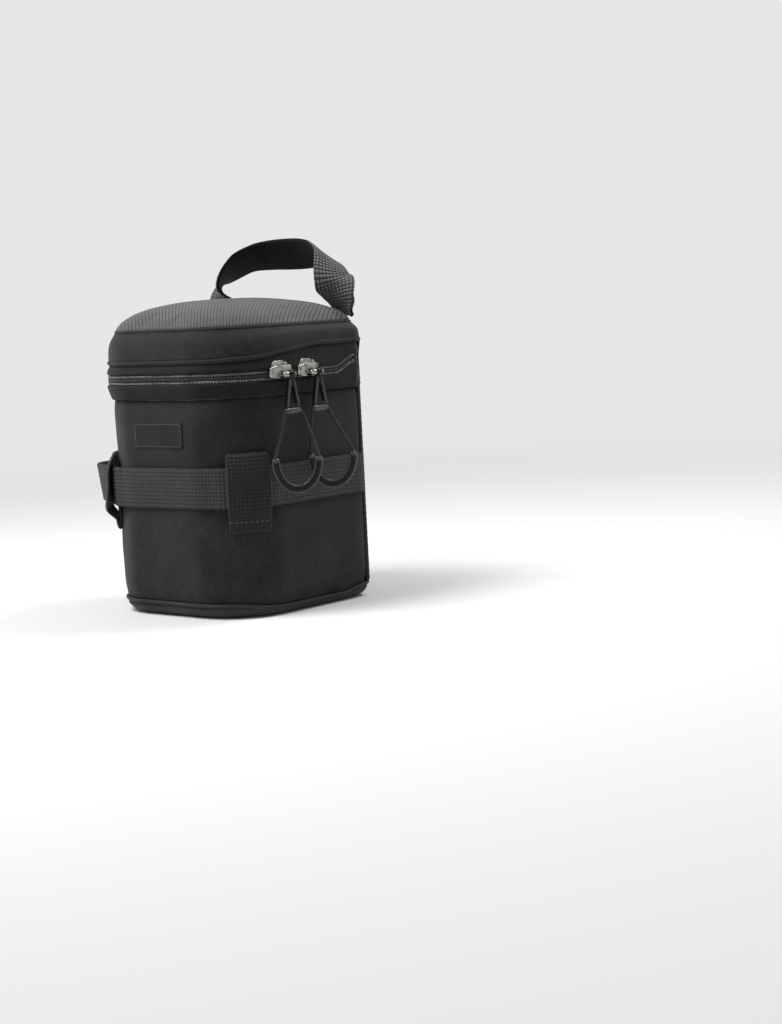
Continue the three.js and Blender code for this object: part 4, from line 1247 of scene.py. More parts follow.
@dataclass
class Lid(Part):
    """The padded lid: gusset, piped seams, ribbed dome, foam, lining and hinge."""

    simulation: Simulation
    body: ClassVar[str] = "lid"
    thickness: float = 1.2 * MM
    stand: float = 1.6 * MM
    taper: float = 2.6 * MM
    shoulder: float = 138 * MM
    shoulder_inset: float = 1.5 * MM
    shoulder_drop: float = 1.0 * MM
    dome_base: float = 139.4 * MM
    dome_rise: float = 11.5 * MM
    piping: float = 1.1 * MM
    upper_piping: float = 0.8 * MM
    rib_pitch: float = 1.8 * MM
    rib_turn: float = math.radians(40)
    rib_depth: float = 0.28 * MM
    hinge: float = 119.6 * MM
    hinge_low: float = 105.6 * MM
    hinge_wide: float = 1.5 * MM

    def gusset(self) -> None:
        """The side band between the two seams."""
        place, share = OUTLINE.around(1.2 * MM)[:, None], np.linspace(0, 1, 22)[None]
        low = lid_seam(place) + 0.5 * MM
        height = low + (self.shoulder - self.shoulder_drop / 2 - 0.3 * MM - low) * share
        soft = 0.3 * MM * ripple(place, height, 22 * MM, 7.5) \
            + 0.12 * MM * ripple(place, height * 0.4, 5 * MM, 1.5)
        full = 0.9 * MM * np.sin(math.pi * share) ** 0.8
        bent = self.shoulder_inset * smooth(0.45, 1.05, share) ** 1.5
        grid = OUTLINE.surface(
            place, height, self.stand - 0.75 * MM - self.taper * share + full + soft - bent)
        self.dress(shell("lid_gusset_cloth", grid, self.thickness, True), "gusset",
                   "body_fabric", ["lid_gusset"], fill=0.8)

    def pipings(self) -> None:
        """Both piped seams."""
        around = OUTLINE.around(1.2 * MM)
        for which, height, out, radius, seed in (
                ("lower", lid_seam(around), self.stand - 0.5 * MM, self.piping, 2.0),
                ("upper", self.shoulder - self.shoulder_drop / 2,
                 self.stand - self.taper - 0.5 * MM - self.shoulder_inset, self.upper_piping,
                 5.0)):
            soft = 0.16 * MM * ripple(around, 0 * around, 9 * MM, seed)
            rise = 0.25 * MM * ripple(around, 0 * around, 17 * MM, seed + 9)
            line = OUTLINE.surface(around, height + rise, out + soft)
            self.dress(tube(f"lid_{which}_piping_cord", line, radius, 12, closed=True), "piping",
                       "piping", [f"lid_{which}_piping"])

    def dome_at(self, share: np.ndarray, place: np.ndarray, inset: float, drop: float
                ) -> np.ndarray:
        """Points on the dome, or inside it.

        Args:
            share: Shares of the way out.
            place: Arc lengths on the outline.
            inset: How far inside the dome's edge.
            drop: How far below the dome.

        Returns:
            The points.
        """
        point, normal = OUTLINE.at(place)
        edge = point + normal * (self.stand - self.taper - 0.6 * MM - self.shoulder_inset - inset)
        rise = np.clip(1 - share ** 2.4, 0, 1) ** 0.62
        height = self.dome_base - self.shoulder_drop - drop - 0.6 * MM \
            + (self.dome_rise + self.shoulder_drop) * rise
        return np.concatenate([edge * share[..., None], height[..., None]], -1)

    def dome(self) -> None:
        """The ribbed top, pressed out by its foam; its ribs run towards the rear right."""
        count = 220
        line = np.abs(np.linspace(-1, 1, count))
        inner = smooth(0, 0.3, 1 - np.maximum.outer(line, line))
        grid = disc(lambda share, place: self.dome_at(
            1 - (1 - share) ** 1.25, place, 0.1 * MM, 0), count)
        soft = 0.45 * MM * ripple(grid[..., 0], grid[..., 1], 26 * MM, 2.6)
        grid = grid + self.simulation.press(grid, 31, 31, 1.0, 0.01)
        grid[..., 2] += soft * inner
        x, y = grid[..., 0], grid[..., 1]
        across = x * math.cos(self.rib_turn) + y * math.sin(self.rib_turn)
        away = y * math.cos(self.rib_turn) - x * math.sin(self.rib_turn)
        ribs = across * (1 - 4 * away) / self.rib_pitch + 0.12 * ripple(x, y, 14 * MM, 9.0)
        height = np.abs(np.sin(math.pi * ribs)) ** 0.7 * smooth(0.02, 0.4, inner)
        top = shell("lid_top_cloth", grid, self.thickness, relief=(height - 0.5) * self.rib_depth,
                    back_relief=0.0, ribs=ribs)
        self.dress(top, "lid_fabric", "lid_fabric", ["lid_top"], fill=0.85)

    def lined(self, inset: float, drop: float, foot: float, count: int) -> np.ndarray:
        """A dome with a skirt that reaches down inside the gusset.

        Args:
            inset: How far it lies inside the lid's dome.
            drop: How far it lies below it.
            foot: Height of the skirt's edge over the lid's seam.
            count: Points on each side of its grid.

        Returns:
            The grid of points.
        """
        skirt = 0.8

        def form(share: np.ndarray, place: np.ndarray) -> np.ndarray:
            """Points of the dome and its skirt."""
            points = self.dome_at(np.minimum(share / skirt, 1), place, inset, drop)
            down = smooth(skirt, 1.0, share)
            points[..., 2] = points[..., 2] * (1 - down) + (lid_seam(place) + foot) * down
            points[..., :2] += OUTLINE.at(place)[1] * (self.taper * down)[..., None]
            return points

        return disc(form, count)

    def inside(self) -> None:
        """The lid's foam and its lining, which meets the gusset all round."""
        foam = self.lined(3.9 * MM, 3.6 * MM, 1.2 * MM, 90)
        self.dress(shell("lid_foam_pad", foam, 4.6 * MM), "foam", "foam", ["lid_foam"], fill=0.95)
        lining = self.lined(6.9 * MM, 7.0 * MM, 1.0 * MM, 110)
        self.dress(shell("lid_lining_cloth", lining, 0.8 * MM), "lining", "lining", ["lid_lining"],
                   fill=0.8)

    def hinge_cloth(self) -> None:
        """The cloth that bends behind the zip's ends: sewn on the panel, up into the lid seam."""
        reach = OUTLINE.half - OUTLINE.seam - 1.6 * MM
        offset = np.linspace(-reach, reach, 110)
        place, share = OUTLINE.half + offset[:, None], np.linspace(0, 1, 60)[None]
        height = self.hinge_low + (lid_seam(place) - 0.2 * MM - self.hinge_low) * share
        soft = 0.15 * MM * ripple(place, height, 12 * MM, 12.5)
        wide = 1 + self.hinge_wide / reach * smooth(115.0 * MM, 117.0 * MM, height)
        grid = OUTLINE.surface(OUTLINE.half + offset[:, None] * wide, height,
                               0.35 * MM + 0.9 * MM * smooth(0.6, 1, share) + soft)
        pieces = self.painted("body_fabric", shell("hinge_cloth_strip", grid, 1.0 * MM))
        for k, rise in enumerate((1.2 * MM, 3.6 * MM)):
            pieces.append(self.rows.lay("hinge_thread", *OUTLINE.row(
                OUTLINE.half + offset, self.hinge_low + rise, 0.92 * MM), STITCH,
                start=2 * MM, seed=20 + k))
        piece = joined("hinge_cloth", pieces)
        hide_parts("hinge_flap")
        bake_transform(piece)

    def build(self) -> None:
        """Builds the whole lid."""
        self.gusset()
        self.pipings()
        self.dome()
        self.inside()
        self.hinge_cloth()


def ribbon(name: str, line: np.ndarray, across: np.ndarray, width: float, thickness: float,
           cols: int = 18, relief: np.ndarray | float = 0.0, back_relief: float = 1.0,
           cup: float = 0.0) -> bpy.types.Object:
    """A strap of webbing along a line.

    Args:
        name: Name of the piece.
        line: Points along the strap's middle.
        across: Direction across the strap, one for each point.
        width: Width of the strap.
        thickness: Thickness of the strap.
        cols: Points across it.
        relief: How far each point of its face is raised.
        back_relief: Share of the relief on its back.
        cup: How far its edges curl to its face.

    Returns:
        The strap.
    """
    share = np.linspace(-0.5, 0.5, cols)[None, :, None]
    face = normed(np.cross(np.gradient(line, axis=0), across))
    grid = line[:, None] + across[:, None] * width * share \
        + face[:, None] * cup * (2 * share) ** 2
    return shell(name, grid, thickness, False, relief, back_relief)


@dataclass
class Handle(Part):
    """The webbing handle, sewn in flat at the rear and twisted so that its top is on edge."""

    body: ClassVar[str] = "handle"
    span: float = 81 * MM
    rise: float = 32.2 * MM
    lean: float = 10.2 * MM
    width: float = 20 * MM
    thickness: float = 2.0 * MM
    back: float = 48.4 * MM
    foot: float = 140.2 * MM
    twist: float = math.radians(142)
    rib_pitch: float = 1.7 * MM
    corner_start: float = 37 * MM
    corner: float = 12.4 * MM
    bend: float = 9 * MM

    def wrap(self, strap: bpy.types.Object) -> None:
        """Bends both sewn ends forward round the rear corners of the lid.

        Args:
            strap: The strap, straight across at its ends so far.
        """
        count = len(strap.data.vertices)
        points = np.empty(count * 3)
        strap.data.vertices.foreach_get("co", points)
        points = points.reshape(-1, 3)
        sign, beyond = np.sign(points[:, 0]), np.abs(points[:, 0]) - self.corner_start
        turn = np.maximum(beyond, 0) / self.corner
        radius = self.corner + points[:, 1] - self.back
        bent = np.stack([sign * (self.corner_start + radius * np.sin(turn)),
                         self.back - self.corner + radius * np.cos(turn), points[:, 2]], 1)
        low = 1 - smooth(self.foot - 1 * MM, self.foot + 8 * MM, points[:, 2])
        low = np.where(beyond > 0, low, 0)[:, None]
        strap.data.vertices.foreach_set("co", (points + (bent - points) * low).ravel())
        strap.data.update()

    def build(self) -> None:
        """Builds the strap, its ribs across it on one face."""
        shares = [(-1, 0, 0, -0.05), (-0.99, 0.78, 0.3, 0), (-0.96, 1, 0.58, 0.41),
                  (-0.744, 0.31, 0.894, 0.76), (-0.49, -0.07, 0.98, 0.92), (0, -0.27, 1, 1)]
        half = [(x * self.span / 2, self.back - lean * self.lean, self.foot + up * self.rise,
                 turn * self.twist * MM) for x, lean, up, turn in shares]
        knots = half + [(-x, y, z, turn) for x, y, z, turn in half[-2::-1]]
        line, turns = np.split(curve_through(knots, 620), [3], axis=1)
        steps = np.linspace(0, 1, len(line))
        across = np.zeros_like(line)
        for i, (way, turn) in enumerate(zip(map(Vector, normed(np.gradient(line, axis=0))),
                                            turns[:, 0] / MM)):
            mirror = -1 if steps[i] > 0.5 else 1
            if mirror < 0:
                way = Vector((way.x, -way.y, -way.z))
            face = (Vector((0, -1, 0)) + way * way.y).normalized()
            side = Matrix.Rotation(-turn, 3, way) @ face.cross(way)
            across[i] = (side.x * mirror, side.y, side.z)
        run = (steps * run_of(line)[-1])[:, None]
        bars = np.abs(np.sin(math.pi * run / self.rib_pitch)) ** 0.8
        edge = 1 - smooth(0.78, 0.95, np.abs(np.linspace(-1, 1, 20)[None]))
        strap = ribbon("handle_strap", line, across, self.width, self.thickness - 0.4 * MM, 20,
                       0.32 * MM * (bars - 0.6) * edge, 0.25, cup=0.35 * MM)
        self.wrap(strap)
        # The outer, ribbed face gets the lighter copy of the webbing, painted light.
        strap.data.materials.append(self.finishes["handle_webbing"])
        # The inner face gets the near-black cloth, painted shade for the side that faces down and
        # away from the light.
        strap.data.materials.append(self.finishes["handle_lining"])
        inner = np.arange(len(strap.data.polygons)) * 2 >= len(strap.data.polygons)
        strap.data.polygons.foreach_set("material_index", inner.astype(int))
        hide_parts("handle")
        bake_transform(strap)


@dataclass
class WaistBand(Part):
    """The band round the pouch, its loose loop at the left, and the loops that keep it."""

    height: float = 62.6 * MM
    width: float = 19.5 * MM
    thickness: float = 1.2 * MM
    left_angle: float = math.radians(-49)
    right_angle: float = math.radians(56)
    keeper_width: float = 19.4 * MM
    keeper_thickness: float = 1.1 * MM
    keeper_top: float = 79 * MM
    keeper_foot: float = 41.8 * MM
    flat: float = 0.9 * MM
    lift: float = 1.4 * MM
    reach: float = 26.6 * MM
    swell: float = 1.4 * MM
    tilt: float = math.radians(7)
    sag: float = 0.8 * MM
    row_pitch: float = 1.85 * MM
    keeper_bars: int = 45
    steps: int = 620

    def path(self) -> tuple[np.ndarray, np.ndarray]:
        """The band's middle from the left loop to the right rear seam, and where it is loose."""
        spread = self.keeper_width / 2 / OUTLINE.front_radius
        leave_angle = self.left_angle - spread
        leave = OUTLINE.place_of(leave_angle)
        places = np.linspace(leave, OUTLINE.seam - 0.4 * MM, 200)
        point, normal = OUTLINE.at(places)
        angle = np.arctan2(normal[:, 0], -normal[:, 1])
        away = np.minimum(np.abs(angle - self.right_angle), np.abs(angle - self.left_angle))
        out = self.flat + self.lift * (1 - smooth(1.15 * spread, 2 * spread, away))
        out = out + self.swell * (1 - smooth(leave_angle, leave_angle + 2 * spread, angle))
        wall = point + normal * out[:, None]
        shares = [(0.04, 0.95), (0.34, 0.8), (0.66, 0.62), (0.92, 0.43), (1, 0.26), (0.86, 0.13),
                  (0.5, 0.055)]
        start, rear = wall[0, 1], OUTLINE.back_centre[1]
        loop = [(-OUTLINE.half_width - self.flat - a * self.reach, start + (rear - start) * b)
                for a, b in shares]
        free = curve_through([(-OUTLINE.half_width - self.flat, rear), *loop, wall[0], wall[2],
                              wall[5]], 400)
        cut = int(np.argmin(np.linalg.norm(free - wall[0], axis=1)))
        line = resample(np.vstack([free[:cut], wall]), self.steps)
        loose = 1 - smooth(0, 12 * MM, np.linalg.norm(line - wall[0], axis=1))
        loose = np.where(np.arange(self.steps) < np.argmax(loose), 1, loose)
        flat_end = smooth(0, 18 * MM, np.linalg.norm(line - line[0], axis=1))
        return line, loose * flat_end

    def band(self) -> None:
        """The band, tilted where it is loose."""
        line, loose = self.path()
        along = normed(np.gradient(line, axis=0))
        lean = loose * self.tilt
        across = np.stack([along[:, 1] * np.sin(lean), -along[:, 0] * np.sin(lean),
                           np.cos(lean)], 1)
        height = self.height - self.sag * loose \
            + 0.3 * MM * ripple(np.arange(self.steps) * MM, 0, 60 * MM, 3.3)
        cols = 44
        over = np.linspace(-self.width / 2, self.width / 2, cols)[None]
        rows = np.abs(np.sin(math.pi * over / self.row_pitch)) ** 0.6
        relief = 0.22 * MM * (rows - 0.5) * (1 - smooth(8.6 * MM, 9.6 * MM, np.abs(over)))
        strap = ribbon("waist_band_strap", np.hstack([line, height[:, None]]), across, self.width,
                       self.thickness, cols, relief)
        self.dress(strap, "webbing", "webbing", ["waist_band"])

    def keeper(self, side: str, centre: float, stand: float,
               shares: Sequence[tuple[float, float]]) -> None:
        """One upright loop: a strip folded at the top and hemmed at the foot.

        Args:
            side: Name of its side.
            centre: Angle that its middle faces.
            stand: How far its outer strand stands off the wall.
            shares: The outer strand's line from the top down, as shares out and up.
        """
        inner, outer, hem = 0.7 * MM, stand - 0.5 * MM, 2.0 * MM
        high = self.keeper_top - self.keeper_foot - self.keeper_thickness / 2
        line = [(inner + (outer - inner) * a, self.keeper_foot + high * b)
                for a, b in [(0, 0.04), (0, 0.5), (0, 0.95), (0.2, 1), *shares]]
        line += [(hem + 0.45 * MM, self.keeper_foot + 0.11 * high),
                 (hem, self.keeper_foot + 0.04 * high),
                 ((inner + hem) / 2, self.keeper_foot - 0.3 * MM), line[0]]
        path = curve_through(line, 241)[:-1]
        spread = self.keeper_width / 2 / OUTLINE.front_radius
        places = np.array([OUTLINE.place_of(centre + turn)
                           for turn in np.linspace(-spread, spread, 30)])
        grid = OUTLINE.surface(places[None], path[:, 1:], path[:, :1])[::-1]
        run = np.linspace(0, 1, len(path))[:, None]
        bars = np.abs(np.sin(math.pi * self.keeper_bars * run)) ** 0.6
        strip = shell("keeper_strip", grid, self.keeper_thickness, True,
                      0.16 * MM * (bars - 0.5))
        rim = np.linspace(places[0], places[-1], 60)
        threads = self.rows.lay("keeper_thread", *OUTLINE.row(
            rim, self.keeper_foot + 0.13 * high, hem + self.keeper_thickness / 2 + 0.55 * MM),
            Bar(1.9 * MM, 0.5 * MM, 0.4 * MM, 2.5 * MM), start=1 * MM, seed=31)
        # The strip wears the darker copy of the webbing, painted shade.
        self.dress(joined(f"keeper_{side}_loop", [*self.painted("keeper_webbing", strip),
                                                  threads]), "", "webbing", [f"keeper_{side}"])

    def build(self) -> None:
        """Builds the band and both keepers."""
        self.band()
        self.keeper("right", self.right_angle, 4.6 * MM,
                    [(0.46, 0.985), (0.74, 0.9), (1, 0.68), (0.97, 0.45), (0.8, 0.31)])
        self.keeper("left", self.left_angle, 6.3 * MM,
                    [(0.36, 0.96), (0.64, 0.89), (0.94, 0.76), (1.03, 0.55), (1.2, 0.36),
                     (1.2, 0.24)])


class Place(Enum):
    """Where a slider stands on the zip, its name first, and how far forward its grip hangs."""

    FRONT = ("front", -19 * MM, 4 * MM)
    REAR = ("rear", 0.4 * MM, -1.6 * MM)


def slab(name: str, outline: Sequence[Sequence[float]], low: float, high: float,
         bevel: float, holes: Sequence[Sequence[Sequence[float]]] = ()) -> bpy.types.Object:
    """A flat shape drawn in [y, z] with a thickness along X and rounded edges.

    Args:
        name: Name of the piece.
        outline: Corners of the shape.
        low: X of its inner face.
        high: X of its outer face.
        bevel: Radius of the edges.
        holes: Corners of windows through it.

    Returns:
        The slab as a plain mesh.
    """
    curve = bpy.data.curves.new(name, "CURVE")
    curve.dimensions, curve.fill_mode = "2D", "BOTH"
    curve.extrude = (high - low) / 2 - bevel
    curve.bevel_depth, curve.bevel_resolution = bevel, 3
    curve.offset = -bevel
    for ring in (outline, *holes):
        spline = curve.splines.new("POLY")
        spline.points.add(len(ring) - 1)
        for point, (y, z) in zip(spline.points, ring):
            point.co = (y, z, 0, 1)
        spline.use_cyclic_u = True
    drawn = new_object(name, curve)
    graph = bpy.context.evaluated_depsgraph_get()
    mesh = bpy.data.meshes.new_from_object(drawn.evaluated_get(graph))
    bpy.data.objects.remove(drawn)
    mesh.transform(Matrix(((0, 0, 1, (low + high) / 2), (1, 0, 0, 0), (0, 1, 0, 0),
                           (0, 0, 0, 1))))
    mesh.materials.clear()
    return turned_outwards(new_object(name, mesh))


def rounded(corners: Sequence[Sequence[float]], radius: float, steps: int = 5
            ) -> list[tuple[float, float]]:
    """A polygon whose corners are rounded."""
    ring = [np.array(c, float) for c in corners]
    made = []
    for before, at, after in zip([ring[-1], *ring[:-1]], ring, [*ring[1:], ring[0]]):
        back, on = before - at, after - at
        cut = min(radius, 0.45 * np.linalg.norm(back), 0.45 * np.linalg.norm(on))
        start, end = (at + way / np.linalg.norm(way) * cut for way in (back, on))
        for share in np.linspace(0, 1, steps):
            made.append(tuple((1 - share) ** 2 * start + 2 * share * (1 - share) * at
                              + share ** 2 * end))
    return made


def tapered(radius: float, count: int, power: int, least: float) -> np.ndarray:
    """Radii of a bar whose ends are rounded: the higher the power, the blunter they are."""
    return radius * np.sqrt(np.clip(1 - np.linspace(-1, 1, count) ** power, least, 1))


@dataclass
class Pull(Part):
    """One slider with its pull: a metal body, a moulded tab, a cord loop and a moulded grip."""

    place: Place = Place.FRONT
    side: float = 49 * MM
    chain: float = 114.5 * MM
    plate_reach: float = 7.3 * MM
    plate_foot: float = -1.9 * MM
    plate_top: float = 4.4 * MM
    bar_out: float = 6.8 * MM
    tab_length: float = 17.3 * MM
    tab_half: float = 5 * MM
    bridge_back: float = 3.9 * MM
    loop_out: float = 4.9 * MM
    loop_turn: float = math.radians(35)
    loop_width: float = 21 * MM
    cord_radius: float = 0.78 * MM
    cord_drop: float = 21.5 * MM
    cord_half: float = 5.3 * MM
    grip_drop: float = 15 * MM
    grip_bar: Bar = Bar(2.1 * MM, 0.5 * MM, 0.5 * MM, 1.15 * MM)

    def __post_init__(self) -> None:
        """Takes the slider's name and places from where it stands."""
        self.name, self.at, self.ahead = self.place.value

    def hung(self, piece: bpy.types.Object, drop: float = 0.0) -> bpy.types.Object:
        """Moves a piece from the axis of the tab, or a drop below it, to its place."""
        piece.data.transform(Matrix.Translation((
            self.side + self.bar_out, self.at + self.bridge_back, self.chain - drop)))
        return piece

    def plate(self, low: float, high: float, narrow: float = 0.72) -> bpy.types.Object:
        """A slider plate seen from outside: wide in front, narrower behind."""
        reach, foot, top = self.plate_reach, self.plate_foot, self.plate_top
        middle = (top + foot) / 2
        ends = [middle + (edge - middle) * narrow for edge in (foot, top)]
        ring = rounded([(-reach, ends[0]), (-reach * 0.35, foot), (reach, foot), (reach, top),
                        (-reach * 0.35, top), (-reach, ends[1])], 0.9 * MM, 6)
        return slab("plate", ring, low, high, 0.42 * MM)

    def slider(self) -> None:
        """The metal body: two plates, the post between them and the bridge for the tab."""
        inner = self.plate(-1.5 * MM, -0.3 * MM)
        outer = self.plate(3.2 * MM, 4.5 * MM)
        ring = [(-1.5 * MM, -0.9 * MM), (2.2 * MM, -0.5 * MM), (2.2 * MM, 0.5 * MM),
                (-1.5 * MM, 0.9 * MM)]
        post = slab("post", rounded(ring, 0.4 * MM), -0.9 * MM, 3.8 * MM, 0.1 * MM)
        shoulders = []
        for low, high, top, cut in ((-5.2 * MM, 4.0 * MM, 6.7 * MM, 1.8 * MM),
                                    (3.6 * MM, 6.6 * MM, 5.8 * MM, 0.4 * MM)):
            ring = rounded([(low, 3.2 * MM), (high, 3.2 * MM), (high - 0.4 * MM, top),
                            (low + cut, top)], 1.0 * MM)
            shoulders.append(slab("shoulder", ring, 1.6 * MM, 3.0 * MM, 0.4 * MM))
        half = [(3.9 * MM, 4.1 * MM), (5.2 * MM, 3.9 * MM), (6.6 * MM, 2.9 * MM),
                (6.9 * MM, 1.6 * MM)]
        arch = curve_through([(out, -back, 0) for out, back in half]
                             + [(out, back, 0) for out, back in half[::-1]], 60)
        width = 0.62 * MM * (1 + 0.9 * smooth(0.25, 0.0, np.abs(np.linspace(-1, 1, 60)) - 0.6))
        bridge = tube("bridge", arch + [0, self.bridge_back, 0], width, 12, flat=1.25)
        piece = joined(f"slider_{self.name}_body", [inner, outer, post, bridge, *shoulders])
        piece.data.transform(Matrix.Translation((self.side, self.at, self.chain)))
        self.dress(piece, "bright_metal", "bright_metal", [f"slider_{self.name}"],
                   f"slider_{self.name}")

    def tab(self) -> None:
        """The moulded tab: an eye on the bridge, an A frame with two ribs and a foot."""
        half, foot = self.tab_half, 1.4 * MM - self.tab_length
        ring = rounded([(-2.0 * MM, -1.2 * MM), (2.0 * MM, -1.2 * MM), (half, foot),
                        (-half, foot)], 0.8 * MM)
        window = rounded([(-0.6 * MM, -5.4 * MM), (0.6 * MM, -5.4 * MM), (2.6 * MM, foot + 2 * MM),
                          (-2.6 * MM, foot + 2 * MM)], 0.6 * MM)
        plate = slab("tab_plate", ring, -0.75 * MM, 0.75 * MM, 0.3 * MM, [window])
        ribs = [tube("tab_rib",
                     np.linspace((0.75 * MM, sign * 1.25 * MM, -2.4 * MM),
                                 (0.75 * MM, sign * 3.95 * MM, foot + 0.4 * MM), 24),
                     tapered(0.62 * MM, 24, 8, 0.05), 10) for sign in (-1, 1)]
        turn = np.linspace(0, 2 * math.pi, 40, endpoint=False)
        ring = 1.6 * MM * np.stack([np.cos(turn), 0 * turn, np.sin(turn)], 1)
        eye = tube("tab_eye", ring, 0.5 * MM, 10, True, flat=3.6, up=(0, 1, 0))
        bar = tube("tab_foot", np.linspace(
            (0, -half, -self.tab_length), (0, half, -self.tab_length), 30),
            tapered(1.62 * MM, 30, 14, 0.3), 20)
        # The foot and ribs wear the lighter plastic, painted highlight.
        piece = joined(f"pull_tab_{self.name}_frame", [
            *self.painted("moulded", plate, eye), *self.painted("moulded_edge", bar, *ribs)])
        self.dress(self.hung(piece), "", "moulded", [f"pull_tab_{self.name}"],
                   f"tab_{self.name}")

    def strand(self, side: int) -> list[tuple[float, float, float]]:
        """One half of the cord, from the foot down to the grip."""
        shares = [(0, 0, 0), (0.04, 0, 0.03), (0.13, 0, 0.12), (0.62, 0.42, 0.6), (1, 1, 1),
                  (1.02, 1.05, 1.12)]
        turned = self.loop_out + side * self.loop_width * math.sin(self.loop_turn) / 2
        wide = self.loop_width * math.cos(self.loop_turn) / 2 - self.cord_half
        return [(away * turned, side * (self.cord_half + wide * away) - ahead * self.ahead,
                 -down * self.cord_drop) for away, ahead, down in shares]

    def cord(self) -> None:
        """The thin cord through the foot, held at both ends by the grip."""
        line = curve_through([*self.strand(-1)[::-1], (0, 0, 0), *self.strand(1)], 160)
        piece = tube(f"pull_cord_{self.name}_loop", line, self.cord_radius, 14, up=(1, 0, 0))
        self.dress(self.hung(piece, self.tab_length), "cord", "cord", [f"pull_cord_{self.name}"],
                   f"loop_{self.name}")

    def grip(self) -> None:
        """The moulded grip: a flat U with raised rims, ribs and a flared collar at each end."""
        out = (1, 0, 0)
        half, high = self.loop_width / 2, -self.cord_drop - 0.3 * MM
        shares = [(0.34, -0.95), (0.72, -0.72), (0.94, -0.36), (1, 0)]
        right = [(0, a * half, high + d * self.grip_drop) for a, d in shares]
        left = [(0, -y, z) for _, y, z in right[::-1]]
        line = curve_through([*left, (0, 0, high - self.grip_drop), *right], 120)
        inward = normed(np.cross(np.gradient(line, axis=0), (-1.0, 0, 0)))
        flare = 0.35 * MM * smooth(0.85, 0.97, np.abs(np.linspace(-1, 1, 120)))
        core = tube("grip_core", line, (1.75 * MM + flare) * 0.92, 16, flat=0.62, up=out)
        rims = [tube("grip_rim", (line + inward * (sign * 1.45 * MM))[6:-6], 0.62 * MM,
                     10, up=out) for sign in (-1, 1)]
        collars = [tube("grip_collar", part, tapered(2.0 * MM, len(part), 6, 0.2), 16,
                        flat=0.8, up=out) for part in (line[:7], line[-7:])]
        middle = line[30:-30]
        ribs = [self.rows.lay("grip_ribs", middle + [sign * 1.05 * MM, 0, 0], (sign, 0, 0),
                              self.grip_bar, "moulded", tilt=math.pi / 2, seed=40)
                for sign in (-1, 1)]
        # The rims and collars wear the lighter plastic, painted highlight.
        piece = joined(f"pull_grip_{self.name}_loop", [
            *self.painted("moulded", core), *self.painted("moulded_edge", *rims, *collars),
            *ribs])
        piece.data.transform(Matrix.Translation((self.loop_out, -self.ahead, 0))
                             @ Matrix.Rotation(-self.loop_turn, 4, "Z"))
        self.dress(self.hung(piece, self.tab_length), "", "moulded", [f"pull_grip_{self.name}"],
                   f"loop_{self.name}")

    def build(self) -> None:
        """Builds the slider and its pull."""
        self.slider()
        self.tab()
        self.cord()
        self.grip()


